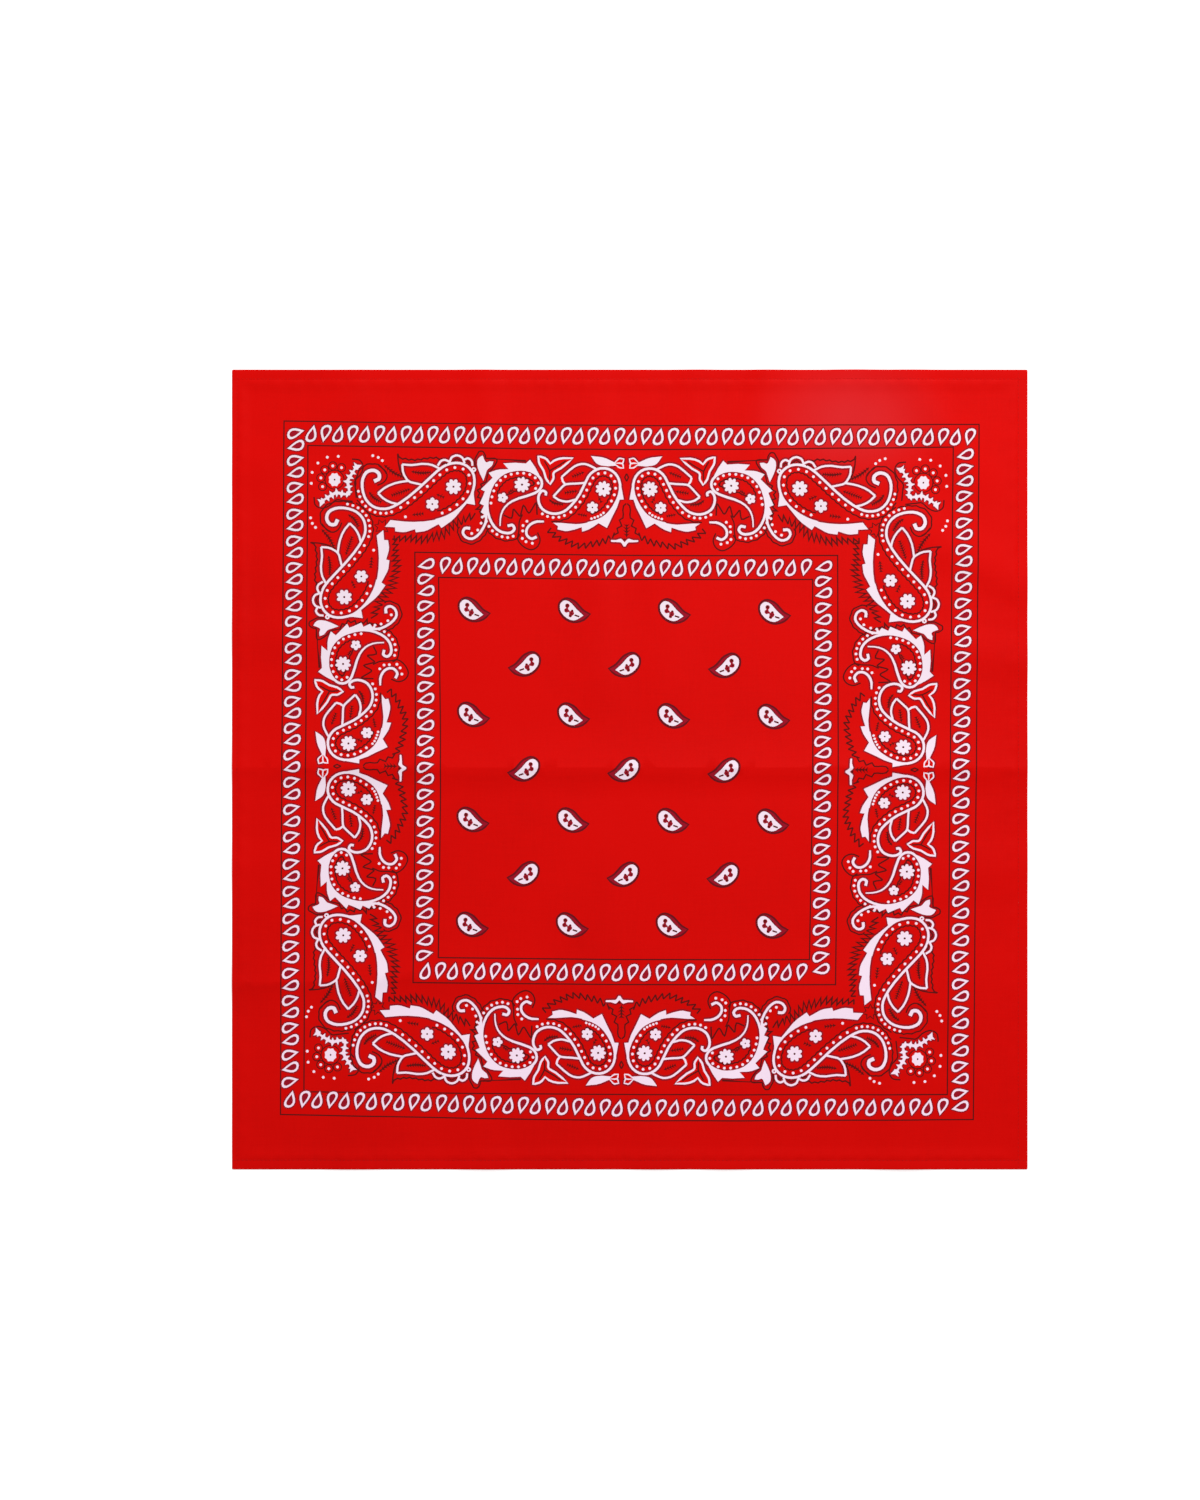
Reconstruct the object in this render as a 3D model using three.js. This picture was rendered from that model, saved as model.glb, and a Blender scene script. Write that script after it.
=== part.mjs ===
// A square cotton bandana, laid out flat, face up.
// Millimetres, +X to the right, +Y towards the top edge, +Z up. The origin is the middle of the
// cloth on the surface that it lies on. The cloth is one wall with shallow folds that stand up
// from the surface, and on its four sides a narrow hem is turned under it.
import * as THREE from "three";

// Driving dimensions
const WIDTH = 550;
const LENGTH = 553;
const CLOTH_WALL = 1.0; // the thinnest wall for a cloth that is 0.3 mm in life
const HEM_WALL = 1.0; // the two layers that are turned under
const SEAM_GAP = 0.3; // between the cloth and what is turned under it
const HEM_WIDTH = { left: 5, right: 8, top: 8, bottom: 8 };
const HEM_SLOPE = 7; // over which the cloth comes down from the hem to the surface
const HEM_ROUND = 0.35; // rounding of a hem's outer corners
const GRID_STEP = 14.5; // the largest spacing of the cloth's stations

// The folds that stand up from the surface. Each has a straight crest through (x, y) that runs at
// turn degrees from +X for length, and fades at both ends. Its flanks come down to the surface over
// the widths left and right of the crest, looking along it. A sharp crest is a pressed crease.
const FOLDS = [
  { x: 0, y: 1, turn: 0, length: 800, rise: 2.3, left: 36, right: 20, sharp: true }, // pressed, across the middle
  { x: -20, y: 150, turn: 90, length: 300, rise: 0.9, left: 34, right: 17, sharp: false }, // upright, left of the middle
  { x: 22, y: 120, turn: 90, length: 240, rise: 0.6, left: 20, right: 34, sharp: false }, // upright, right of the middle
  { x: -16, y: -120, turn: 90, length: 210, rise: 0.5, left: 36, right: 16, sharp: false }, // upright, below the middle
  { x: -175, y: -146, turn: 1, length: 340, rise: 1.7, left: 34, right: 22, sharp: true }, // pressed, lower quarter
  { x: 150, y: -158, turn: -3, length: 300, rise: 0.9, left: 44, right: 36, sharp: false }, // the same, going soft
  { x: -225, y: 232, turn: 38, length: 150, rise: 1.3, left: 24, right: 20, sharp: false }, // over the top left corner
  { x: -100, y: 252, turn: 96, length: 120, rise: 0.9, left: 24, right: 20, sharp: false }, // ripples at the top edge
  { x: 46, y: 250, turn: 84, length: 130, rise: 1.1, left: 24, right: 18, sharp: false },
  { x: 94, y: 256, turn: 88, length: 110, rise: 1.0, left: 18, right: 20, sharp: false },
  { x: 146, y: 244, turn: 74, length: 170, rise: 2.0, left: 26, right: 24, sharp: false },
  { x: 214, y: 240, turn: 122, length: 150, rise: 1.3, left: 24, right: 22, sharp: false },
  { x: 236, y: 146, turn: 152, length: 150, rise: 1.4, left: 22, right: 26, sharp: false }, // ripples at the right edge
  { x: 246, y: 80, turn: 170, length: 130, rise: 1.1, left: 24, right: 22, sharp: false },
  { x: 250, y: -70, turn: 8, length: 120, rise: 0.8, left: 28, right: 24, sharp: false },
  { x: -248, y: 92, turn: 176, length: 120, rise: 0.9, left: 26, right: 26, sharp: false }, // ripples at the left edge
  { x: -250, y: -66, turn: 4, length: 110, rise: 0.8, left: 22, right: 26, sharp: false },
  { x: -190, y: -246, turn: 84, length: 130, rise: 1.0, left: 26, right: 30, sharp: false }, // ripples at the bottom edge
  { x: -104, y: -250, turn: 98, length: 120, rise: 1.2, left: 28, right: 26, sharp: false },
  { x: 16, y: -244, turn: 92, length: 140, rise: 1.0, left: 24, right: 22, sharp: false },
  { x: 70, y: -252, turn: 82, length: 110, rise: 1.2, left: 22, right: 26, sharp: false },
  { x: 184, y: -246, turn: 100, length: 150, rise: 1.5, left: 32, right: 28, sharp: false },
];
const FADE_FROM = 0.45; // the share of a crest's half length where it starts to fade

const smooth = (t) => {
  const u = THREE.MathUtils.clamp(t, 0, 1);
  return u * u * (3 - 2 * u);
};

// How high one fold lifts the cloth's underside at (x, y).
function foldRise(fold, x, y) {
  const angle = THREE.MathUtils.degToRad(fold.turn);
  const dx = x - fold.x;
  const dy = y - fold.y;
  const along = Math.abs(dx * Math.cos(angle) + dy * Math.sin(angle)) / (fold.length / 2);
  const across = dy * Math.cos(angle) - dx * Math.sin(angle);
  const away = Math.abs(across) / (across > 0 ? fold.left : fold.right);
  if (along >= 1 || away >= 1) return 0;
  const flank = fold.sharp ? (1 - away) ** 2 : smooth(1 - away);
  return fold.rise * flank * (1 - smooth((along - FADE_FROM) / (1 - FADE_FROM)));
}

const foldsAt = (x, y) => FOLDS.reduce((sum, fold) => sum + foldRise(fold, x, y), 0);

// How high the hems lift the cloth at (x, y): fully over a hem, and then down the slope inside it.
// inside holds how far the point lies past each of the four hems, towards the middle of the cloth.
function hemLift(x, y) {
  const inside = [
    x + WIDTH / 2 - HEM_WIDTH.left,
    WIDTH / 2 - HEM_WIDTH.right - x,
    LENGTH / 2 - HEM_WIDTH.top - y,
    y + LENGTH / 2 - HEM_WIDTH.bottom,
  ];
  const past = Math.min(...inside) - SEAM_GAP;
  return (HEM_WALL + SEAM_GAP) * (1 - smooth(past / (HEM_SLOPE - SEAM_GAP)));
}

const clothUnderside = (x, y) => foldsAt(x, y) + hemLift(x, y);

// Stations from one edge to the other: the edges, the hems' inner sides and the ends of the slopes
// inside them, the pressed creases, and even steps in between.
function stations(size, hemLow, hemHigh, creases) {
  const low = -size / 2;
  const high = size / 2;
  const fixed = [low + hemLow + HEM_SLOPE, ...creases, high - hemHigh - HEM_SLOPE];
  const out = [low, low + hemLow + SEAM_GAP];
  for (let i = 0; i < fixed.length - 1; i++) {
    const steps = Math.ceil((fixed[i + 1] - fixed[i]) / GRID_STEP);
    for (let k = 0; k < steps; k++) out.push(fixed[i] + ((fixed[i + 1] - fixed[i]) * k) / steps);
  }
  out.push(fixed[fixed.length - 1], high - hemHigh - SEAM_GAP, high);
  return out;
}

const pressedCreases = FOLDS.filter((fold) => fold.sharp).map((fold) => fold.y).sort((a, b) => a - b);
const stationsX = stations(WIDTH, HEM_WIDTH.left, HEM_WIDTH.right, []);
const stationsY = stations(LENGTH, HEM_WIDTH.bottom, HEM_WIDTH.top, pressedCreases);

// A closed body from rings of points, one ring after the other. Looking from the first ring to the
// last, each ring runs clockwise. caps holds the triangles that close one ring's outline.
function loft(rings, caps) {
  const n = rings[0].length;
  const last = (rings.length - 1) * n;
  const faces = caps.flatMap(([a, b, c]) => [[a, b, c], [last + a, last + c, last + b]]);
  for (let r = 0; r < rings.length - 1; r++) {
    for (let k = 0; k < n; k++) {
      const a = r * n + k;
      const b = r * n + ((k + 1) % n);
      faces.push([a, a + n, b], [b, a + n, b + n]);
    }
  }
  const geometry = new THREE.BufferGeometry();
  geometry.setAttribute("position", new THREE.Float32BufferAttribute(rings.flat(2), 3));
  geometry.setIndex(faces.flat());
  return geometry;
}

// The caps of a ring that goes out over one side of a wall and back over the other, m points each
// way: they are laid between the two sides, so that they stay in the wall however it bends.
function wallCaps(m) {
  const caps = [];
  for (let k = 0; k < m - 1; k++) {
    const back = 2 * m - 1 - k;
    caps.push([k, k + 1, back], [back, k + 1, back - 1]);
  }
  return caps;
}

// The cloth: for each station along X, a ring that goes out over the top and back along the underside.
function clothGeometry() {
  const rings = stationsX.map((x) => {
    const under = stationsY.map((y) => [x, y, clothUnderside(x, y)]);
    const over = under.map(([px, py, pz]) => [px, py, pz + CLOTH_WALL]);
    return [...over, ...under.reverse()];
  });
  return loft(rings, wallCaps(stationsY.length));
}

// The triangles that close a hem's section of six points.
const HEM_CAPS = [[0, 1, 2], [0, 2, 3], [0, 3, 4], [0, 4, 5]];

// A hem: its section, given as [distance in from the outer edge, height], is carried along the edge
// over the folds. place turns a distance along the edge and a distance in from it into (x, y).
function hemGeometry(width, alongEdge, place) {
  const section = [
    [width, 0],
    [width, HEM_WALL],
    [HEM_ROUND, HEM_WALL],
    [0, HEM_WALL - HEM_ROUND],
    [0, HEM_ROUND],
    [HEM_ROUND, 0],
  ];
  const rings = alongEdge.map((s) =>
    section.map(([inward, height]) => {
      const [x, y] = place(s, inward);
      return [x, y, foldsAt(x, y) + height];
    }),
  );
  return loft(rings, HEM_CAPS);
}

// The stations between the top and bottom hems, for the hems at the sides.
function betweenHems() {
  const low = -LENGTH / 2 + HEM_WIDTH.bottom + SEAM_GAP;
  const high = LENGTH / 2 - HEM_WIDTH.top - SEAM_GAP;
  const between = stationsY.filter((y) => y > low && y < high);
  return [low, ...between, high];
}

const cottonRed = () => new THREE.MeshStandardMaterial({ color: 0xdc0c08, roughness: 0.85, metalness: 0 });

function named(name, geometry) {
  geometry.computeVertexNormals();
  const mesh = new THREE.Mesh(geometry, cottonRed());
  mesh.name = name;
  return mesh;
}

// Places along a hem at the top, bottom, left or right edge: s runs along the edge, inward from it.
const onTop = (s, inward) => [s, LENGTH / 2 - inward];
const onBottom = (s, inward) => [s, inward - LENGTH / 2];
const onLeft = (s, inward) => [inward - WIDTH / 2, s];
const onRight = (s, inward) => [WIDTH / 2 - inward, s];

const leftToRight = stationsX;
const rightToLeft = [...stationsX].reverse();
const upwards = betweenHems();
const downwards = betweenHems().reverse();

const bandana = new THREE.Group();
bandana.add(named("cloth_panel", clothGeometry()));
bandana.add(named("hem_top", hemGeometry(HEM_WIDTH.top, leftToRight, onTop)));
bandana.add(named("hem_bottom", hemGeometry(HEM_WIDTH.bottom, rightToLeft, onBottom)));
bandana.add(named("hem_left", hemGeometry(HEM_WIDTH.left, upwards, onLeft)));
bandana.add(named("hem_right", hemGeometry(HEM_WIDTH.right, downwards, onRight)));

export default bandana;
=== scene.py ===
# A square cotton bandana laid out flat, printed in white and black on red.
# The cloth is drawn in millimetres, in the frame's own axes, and becomes metres as its meshes are made.
import math

import bmesh
import bpy
import numpy as np
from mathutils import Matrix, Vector
from mathutils.geometry import delaunay_2d_cdt


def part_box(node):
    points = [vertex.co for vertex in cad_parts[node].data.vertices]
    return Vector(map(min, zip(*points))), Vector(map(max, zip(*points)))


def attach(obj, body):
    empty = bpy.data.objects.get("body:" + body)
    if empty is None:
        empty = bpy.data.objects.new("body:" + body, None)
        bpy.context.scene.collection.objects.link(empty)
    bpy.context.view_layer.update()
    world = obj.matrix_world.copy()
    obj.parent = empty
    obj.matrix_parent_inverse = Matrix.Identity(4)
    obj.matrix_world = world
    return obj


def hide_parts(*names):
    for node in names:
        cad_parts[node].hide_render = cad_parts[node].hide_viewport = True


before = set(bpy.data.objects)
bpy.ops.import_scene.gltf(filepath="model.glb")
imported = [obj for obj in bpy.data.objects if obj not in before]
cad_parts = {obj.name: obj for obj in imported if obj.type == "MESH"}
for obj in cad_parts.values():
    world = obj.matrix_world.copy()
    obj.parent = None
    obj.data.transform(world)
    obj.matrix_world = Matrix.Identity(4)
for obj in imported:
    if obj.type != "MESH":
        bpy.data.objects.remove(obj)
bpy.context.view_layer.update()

MM = 0.001

# The cloth's size and its turned hems, from the frame
cloth_low, cloth_high = (np.array(corner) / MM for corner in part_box("cloth_panel"))
WIDTH, LENGTH = (cloth_high - cloth_low)[:2]


def hem_width(node, axis):
    low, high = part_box(node)
    return (high[axis] - low[axis]) / MM


HEM_WIDTH = {
    "left": hem_width("hem_left", 0),
    "right": hem_width("hem_right", 0),
    "bottom": hem_width("hem_bottom", 1),
    "top": hem_width("hem_top", 1),
}
CLOTH_THICK = 0.35
HEM_THICK = 0.5
HEM_SLOPE = 9.0  # over which the cloth comes down beside the hem
HEM_LIFT = 0.05  # the hem's underside above the cloth's own

# The rows of stitches that hold the hems
STITCH_BACK = 1.5  # from the hem's inner edge
STITCH_DIP = 0.09
STITCH_DIP_WIDTH = 0.7
STITCH_PITCH = 2.7
STITCH_LENGTH = 2.2
STITCH_END = 2.0  # the ends of each row inside the cloth's edge
FACE_LIFT = 0.06  # the thread's middle above the face
THREAD = 0.34
PUCKER_PITCH = 15.0
PUCKER_RISE = 0.2
PUCKER_REACH = 13.0
CORNER_REACH = 14.0  # from where two rows meet, over which the puckers grow to their full rise

# The edge, rolled down over the hem: how far in each ring of it lies, its height as a share of the
# hemmed edge's own, and which way it faces
EDGE_CORNER = 0.8
EDGE_STEP = 5.5
EDGE_HEIGHT = HEM_THICK + CLOTH_THICK
RIM = (
    dict(inset=0.55, rise=1.0, tilt=0),
    dict(inset=0.26, rise=0.91, tilt=32),
    dict(inset=0.07, rise=0.72, tilt=64),
    dict(inset=0.0, rise=0.48, tilt=90),
    dict(inset=0.08, rise=0.21, tilt=122),
    dict(inset=0.3, rise=0.04, tilt=165),
    dict(inset=0.44, rise=0.17, tilt=250),
    dict(inset=0.42, rise=0.4, tilt=262),
    dict(inset=0.52, rise=0.55, tilt=225),
    dict(inset=0.66, rise=HEM_THICK / EDGE_HEIGHT, tilt=180),
)

# The folds that stand up from the surface, as in the solids
FOLDS = (
    dict(x=0, y=1, turn=0, length=800, rise=2.3, left=36, right=20, sharp=True),
    dict(x=-20, y=150, turn=90, length=300, rise=0.9, left=34, right=17, sharp=False),
    dict(x=22, y=120, turn=90, length=240, rise=0.6, left=20, right=34, sharp=False),
    dict(x=-16, y=-120, turn=90, length=210, rise=0.5, left=36, right=16, sharp=False),
    dict(x=-175, y=-146, turn=1, length=340, rise=1.7, left=34, right=22, sharp=True),
    dict(x=150, y=-158, turn=-3, length=300, rise=0.9, left=44, right=36, sharp=False),
    dict(x=-225, y=232, turn=38, length=150, rise=1.3, left=24, right=20, sharp=False),
    dict(x=-100, y=252, turn=96, length=120, rise=0.9, left=24, right=20, sharp=False),
    dict(x=46, y=250, turn=84, length=130, rise=1.1, left=24, right=18, sharp=False),
    dict(x=94, y=256, turn=88, length=110, rise=1.0, left=18, right=20, sharp=False),
    dict(x=146, y=244, turn=74, length=170, rise=2.0, left=26, right=24, sharp=False),
    dict(x=214, y=240, turn=122, length=150, rise=1.3, left=24, right=22, sharp=False),
    dict(x=236, y=146, turn=152, length=150, rise=1.4, left=22, right=26, sharp=False),
    dict(x=246, y=80, turn=170, length=130, rise=1.1, left=24, right=22, sharp=False),
    dict(x=250, y=-70, turn=8, length=120, rise=0.8, left=28, right=24, sharp=False),
    dict(x=-248, y=92, turn=176, length=120, rise=0.9, left=26, right=26, sharp=False),
    dict(x=-250, y=-66, turn=4, length=110, rise=0.8, left=22, right=26, sharp=False),
    dict(x=-190, y=-246, turn=84, length=130, rise=1.0, left=26, right=30, sharp=False),
    dict(x=-104, y=-250, turn=98, length=120, rise=1.2, left=28, right=26, sharp=False),
    dict(x=16, y=-244, turn=92, length=140, rise=1.0, left=24, right=22, sharp=False),
    dict(x=70, y=-252, turn=82, length=110, rise=1.2, left=22, right=26, sharp=False),
    dict(x=184, y=-246, turn=100, length=150, rise=1.5, left=32, right=28, sharp=False),
)
FADE_FROM = 0.45  # the share of a crest's half length where it starts to fade
CREASE_LINES = [fold["y"] for fold in FOLDS if fold["sharp"]]

# Long soft waves of the washed cloth: how high, how many to a millimetre each way, where they start
WAVES = (
    dict(rise=0.10, across=1 / 96, up=1 / 240, start=0.4),
    dict(rise=0.08, across=-1 / 210, up=1 / 74, start=2.1),
    dict(rise=0.05, across=1 / 52, up=1 / 61, start=4.0),
    dict(rise=0.04, across=1 / 39, up=-1 / 47, start=5.2),
)

# The mosaic that the print cuts the face into
GRID_STEP = 7.6
GRID_MARGIN = 12.5
CREASE_MARGIN = 6.0
HEM_ROWS = (-2.3, -1.5, -0.7, 0.0, 3.0, 6.0, 9.5)  # past each hem's inner edge
LEAST_INSET = 1.6
BACK_ROWS = (0.0, 4.5)
BACK_TOLERANCE = 0.4

# The inks of the print, which are also the places of their materials in the cloth's slots.
# The back's materials follow the face's.
RED, WHITE, BLACK, CRIMSON, MAROON, DARK_RED = range(6)
BACK = 6

# The drawn lines, in millimetres
BOLD = 1.7
FINE = 1.42
HEAVY = 1.4
HAIR = 0.98
FRAME_HAIR = 0.88
ZIGZAG_HAIR = 1.05
ZIGZAG_TOLERANCE = 0.2
SPRIG_HAIR = 1.25
RING_HAIR = 0.7
KEYLINE = 1.25
DROP_KEYLINE = 0.95
DOT = 1.0
DOTS_AWAY = 3.1  # from a white line's middle to its row of dots
CONTOUR_AWAY = 5.4  # and to the thin line beyond them
DOT_PITCH = 4.35
TIGHT_DOT_PITCH = 3.9
WIDE_DOT_PITCH = 6.0
MITRE_LIMIT = 0.3  # the least cosine of half a corner's turn that a stroke still follows in full


# Drawing: lines are arrays of points, and shapes are lists of (ink, outline)


def smooth_line(*nodes, step=0.7):
    """A smooth line through the nodes (a Catmull-Rom spline)."""
    node = np.array(nodes, float)
    node = np.vstack([2 * node[0] - node[1], node, 2 * node[-1] - node[-2]])
    stretches = []
    for a, b, c, d in zip(node[:-3], node[1:-2], node[2:-1], node[3:]):
        count = max(2, math.ceil(np.linalg.norm(c - b) / step))
        t = (np.arange(count) / count)[:, None]
        bend = 2 * b + (c - a) * t + (2 * a - 5 * b + 4 * c - d) * t**2 + (3 * b - a - 3 * c + d) * t**3
        stretches.append(bend / 2)
    return thinned(np.vstack(stretches + [node[-2]]))


def thinned(line, tolerance=0.09):
    """The same line with only the points that its bends need."""
    keep = [0]
    while keep[-1] < len(line) - 1:
        reach = keep[-1] + 1
        while reach + 1 < len(line) and bow(line[keep[-1] : reach + 2]) < tolerance:
            reach += 1
        keep.append(reach)
    return line[keep]


def bow(stretch):
    """How far a stretch of line bows away from the straight line between its ends."""
    chord = stretch[-1] - stretch[0]
    away = stretch - stretch[0]
    length = max(np.linalg.norm(chord), 1e-9)
    return np.abs(away[:, 0] * chord[1] - away[:, 1] * chord[0]).max() / length


def cornered(start, *stretches):
    """A closed outline of smooth stretches with a corner wherever one ends and the next begins."""
    outline = []
    for nodes in stretches:
        line = smooth_line(start, *nodes)
        outline.append(line[:-1])
        start = nodes[-1]
    return np.vstack(outline)


def headings(line):
    ahead = np.gradient(line, axis=0)
    return ahead / np.maximum(np.linalg.norm(ahead, axis=1, keepdims=True), 1e-9)


def left_of(line):
    """Unit vectors that point to the left of the line at each of its points."""
    ahead = headings(line)
    return np.column_stack([-ahead[:, 1], ahead[:, 0]])


def mitred(line):
    """Sideways vectors at a line's points, longer at its corners, so that a stroke keeps its width."""
    ahead = np.diff(line, axis=0)
    ahead = ahead / np.maximum(np.linalg.norm(ahead, axis=1, keepdims=True), 1e-9)
    side = np.column_stack([-ahead[:, 1], ahead[:, 0]])
    both = np.vstack([side[:1], side]) + np.vstack([side, side[-1:]])
    return 2 * both / np.maximum((both**2).sum(axis=1, keepdims=True), 4 * MITRE_LIMIT**2)


def distances(line):
    return np.concatenate([[0], np.cumsum(np.linalg.norm(np.diff(line, axis=0), axis=1))])


def at(line, places):
    """Points of the line at these distances along it."""
    run = distances(line)
    return np.column_stack([np.interp(places, run, line[:, k]) for k in (0, 1)])


def stretch_of(line, first, last, step=1.0):
    """The stretch of the line between two shares of its length, in even steps."""
    total = distances(line)[-1]
    count = max(2, round((last - first) * total / step))
    return at(line, np.linspace(first * total, last * total, count + 1))


def beside(line, offset, first=0.0, last=1.0):
    """A line that runs to the left of a stretch of another, or to its right where offset is negative."""
    even = stretch_of(line, first, last, 0.8)
    return even + left_of(even) * offset


def stroke(ink, line, width, tips=(1.0, 1.0)):
    """A drawn line. tips are the shares of its width that it has at its two ends."""
    share = distances(line) / max(distances(line)[-1], 1e-9)
    swell = 1 + (tips[0] - 1) * np.clip(1 - 5 * share, 0, 1) + (tips[1] - 1) * np.clip(5 * share - 4, 0, 1)
    side = mitred(line) * (swell * width / 2)[:, None]
    return [(ink, np.vstack([line + side, (line - side)[::-1]]))]


def loop_stroke(ink, outline, width):
    """The drawn outline of a closed shape, which stays red inside."""
    around = np.roll(outline, -1, axis=0) - np.roll(outline, 1, axis=0)
    around = around / np.maximum(np.linalg.norm(around, axis=1, keepdims=True), 1e-9)
    side = np.column_stack([-around[:, 1], around[:, 0]]) * width / 2
    if turns_left(outline):
        side = -side
    return [(ink, outline + side), (RED, outline - side)]


def turns_left(outline):
    following = np.roll(outline, -1, axis=0)
    return (outline[:, 0] * following[:, 1] - outline[:, 1] * following[:, 0]).sum() > 0


def dot(ink, centre, radius, sides=8):
    turns = np.arange(sides) * 2 * math.pi / sides
    return [(ink, np.asarray(centre) + radius * np.column_stack([np.cos(turns), np.sin(turns)]))]


def dots_along(line, pitch=DOT_PITCH, radius=DOT):
    """White dots at an even pitch along a line."""
    line = thinned(line)
    count = max(1, round(distances(line)[-1] / pitch))
    places = (np.arange(count) + 0.5) * distances(line)[-1] / count
    return [shape for place in at(line, places) for shape in dot(WHITE, place, radius)]


def flower(centre, radius, petals, notch=0.72):
    """A white flower with round petals and a black eye.
    notch is the share of its radius that it has between two petals."""
    count = petals * 4
    turns = np.arange(count) * 2 * math.pi / count
    reach = radius * np.array([notch, 0.95, 1.04, 0.95])[np.arange(count) % 4]
    outline = np.column_stack([reach * np.cos(turns), reach * np.sin(turns)])
    return [(WHITE, np.asarray(centre) + outline)] + dot(BLACK, centre, 0.15 * radius, 6)


def zigzag(line, heights, pitch, lean=-0.45, spread=1.0):
    """A thin black zigzag along a line, whose teeth lean and are not quite even.
    heights are those at even steps from its start to its end, and a spread over 1 draws the teeth
    apart towards its end."""
    count = max(2, round(2 * distances(line)[-1] / pitch))
    number = np.arange(count + 1)
    share = (number / count) ** spread
    base = at(line, share * distances(line)[-1])
    height = np.interp(share, np.linspace(0, 1, len(heights)), heights)
    reach = np.where(number % 2, 0.5, -0.5) * height * (0.82 + 0.18 * np.sin(2.4 * number))
    points = base + left_of(base) * reach[:, None] + headings(base) * (lean * reach)[:, None]
    return stroke(BLACK, thinned(smooth_line(*points), ZIGZAG_TOLERANCE), ZIGZAG_HAIR)


def thorns(ink, line, reach, pitch, width=SPRIG_HAIR, slant=0.7, root=0.34):
    """A stem with pointed thorns on both sides that slant forwards."""
    shapes = stroke(ink, line, width, (0.5, 0.5))
    total = distances(line)[-1]
    count = max(2, round(total / pitch))
    centres = at(line, (np.arange(count) + 0.5) * total / count)
    for number, (centre, side, ahead) in enumerate(zip(centres, left_of(centres), headings(centres))):
        grown = reach * (0.6 + 0.4 * math.sin(math.pi * (number + 0.5) / count))
        foot = ahead * pitch * root
        for sign in (-1, 1):
            tip = centre + (sign * side + slant * ahead) * grown
            shapes.append((ink, np.array([centre - foot, tip, centre + foot])))
    return shapes


def solid(outline):
    return [(WHITE, outline)]


# The four sides: where the half band's own frame lies on the cloth. A half band is drawn in (s, h):
# s is the distance from the side's middle line and h the distance out from the print's centre.
# The cloth was a little askew when it was printed, so each side has its own shift, size and skew.
SIDES = (
    # name, turn of the outward direction, shift along, size along, shift out, out per s, out per along
    dict(name="top", out=(0, 1), along=(1, 0), shift=-2.2, size=1.0, off=0.0, fan=0.0, skew=-0.0053),
    dict(name="bottom", out=(0, -1), along=(1, 0), shift=-5.8, size=1.0, off=2.3, fan=-0.011, skew=0.0058),
    dict(name="left", out=(-1, 0), along=(0, 1), shift=2.3, size=0.977, off=0.25, fan=0.022, skew=-0.003),
    dict(name="right", out=(1, 0), along=(0, 1), shift=-0.2, size=0.974, off=-5.2, fan=0.011, skew=0.0085),
)


def on_side(side, hand, points):
    """Points of a half band, brought onto the cloth. hand is 1 or -1, for the side's two halves."""
    s, h = points[:, 0], points[:, 1]
    run = hand * s * side["size"]
    reach = h + side["off"] + side["fan"] * np.abs(s) + side["skew"] * run
    along = (run + side["shift"])[:, None] * np.array(side["along"])
    return along + reach[:, None] * np.array(side["out"])


# The half band's motifs, from the corner to the middle of the side


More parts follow.
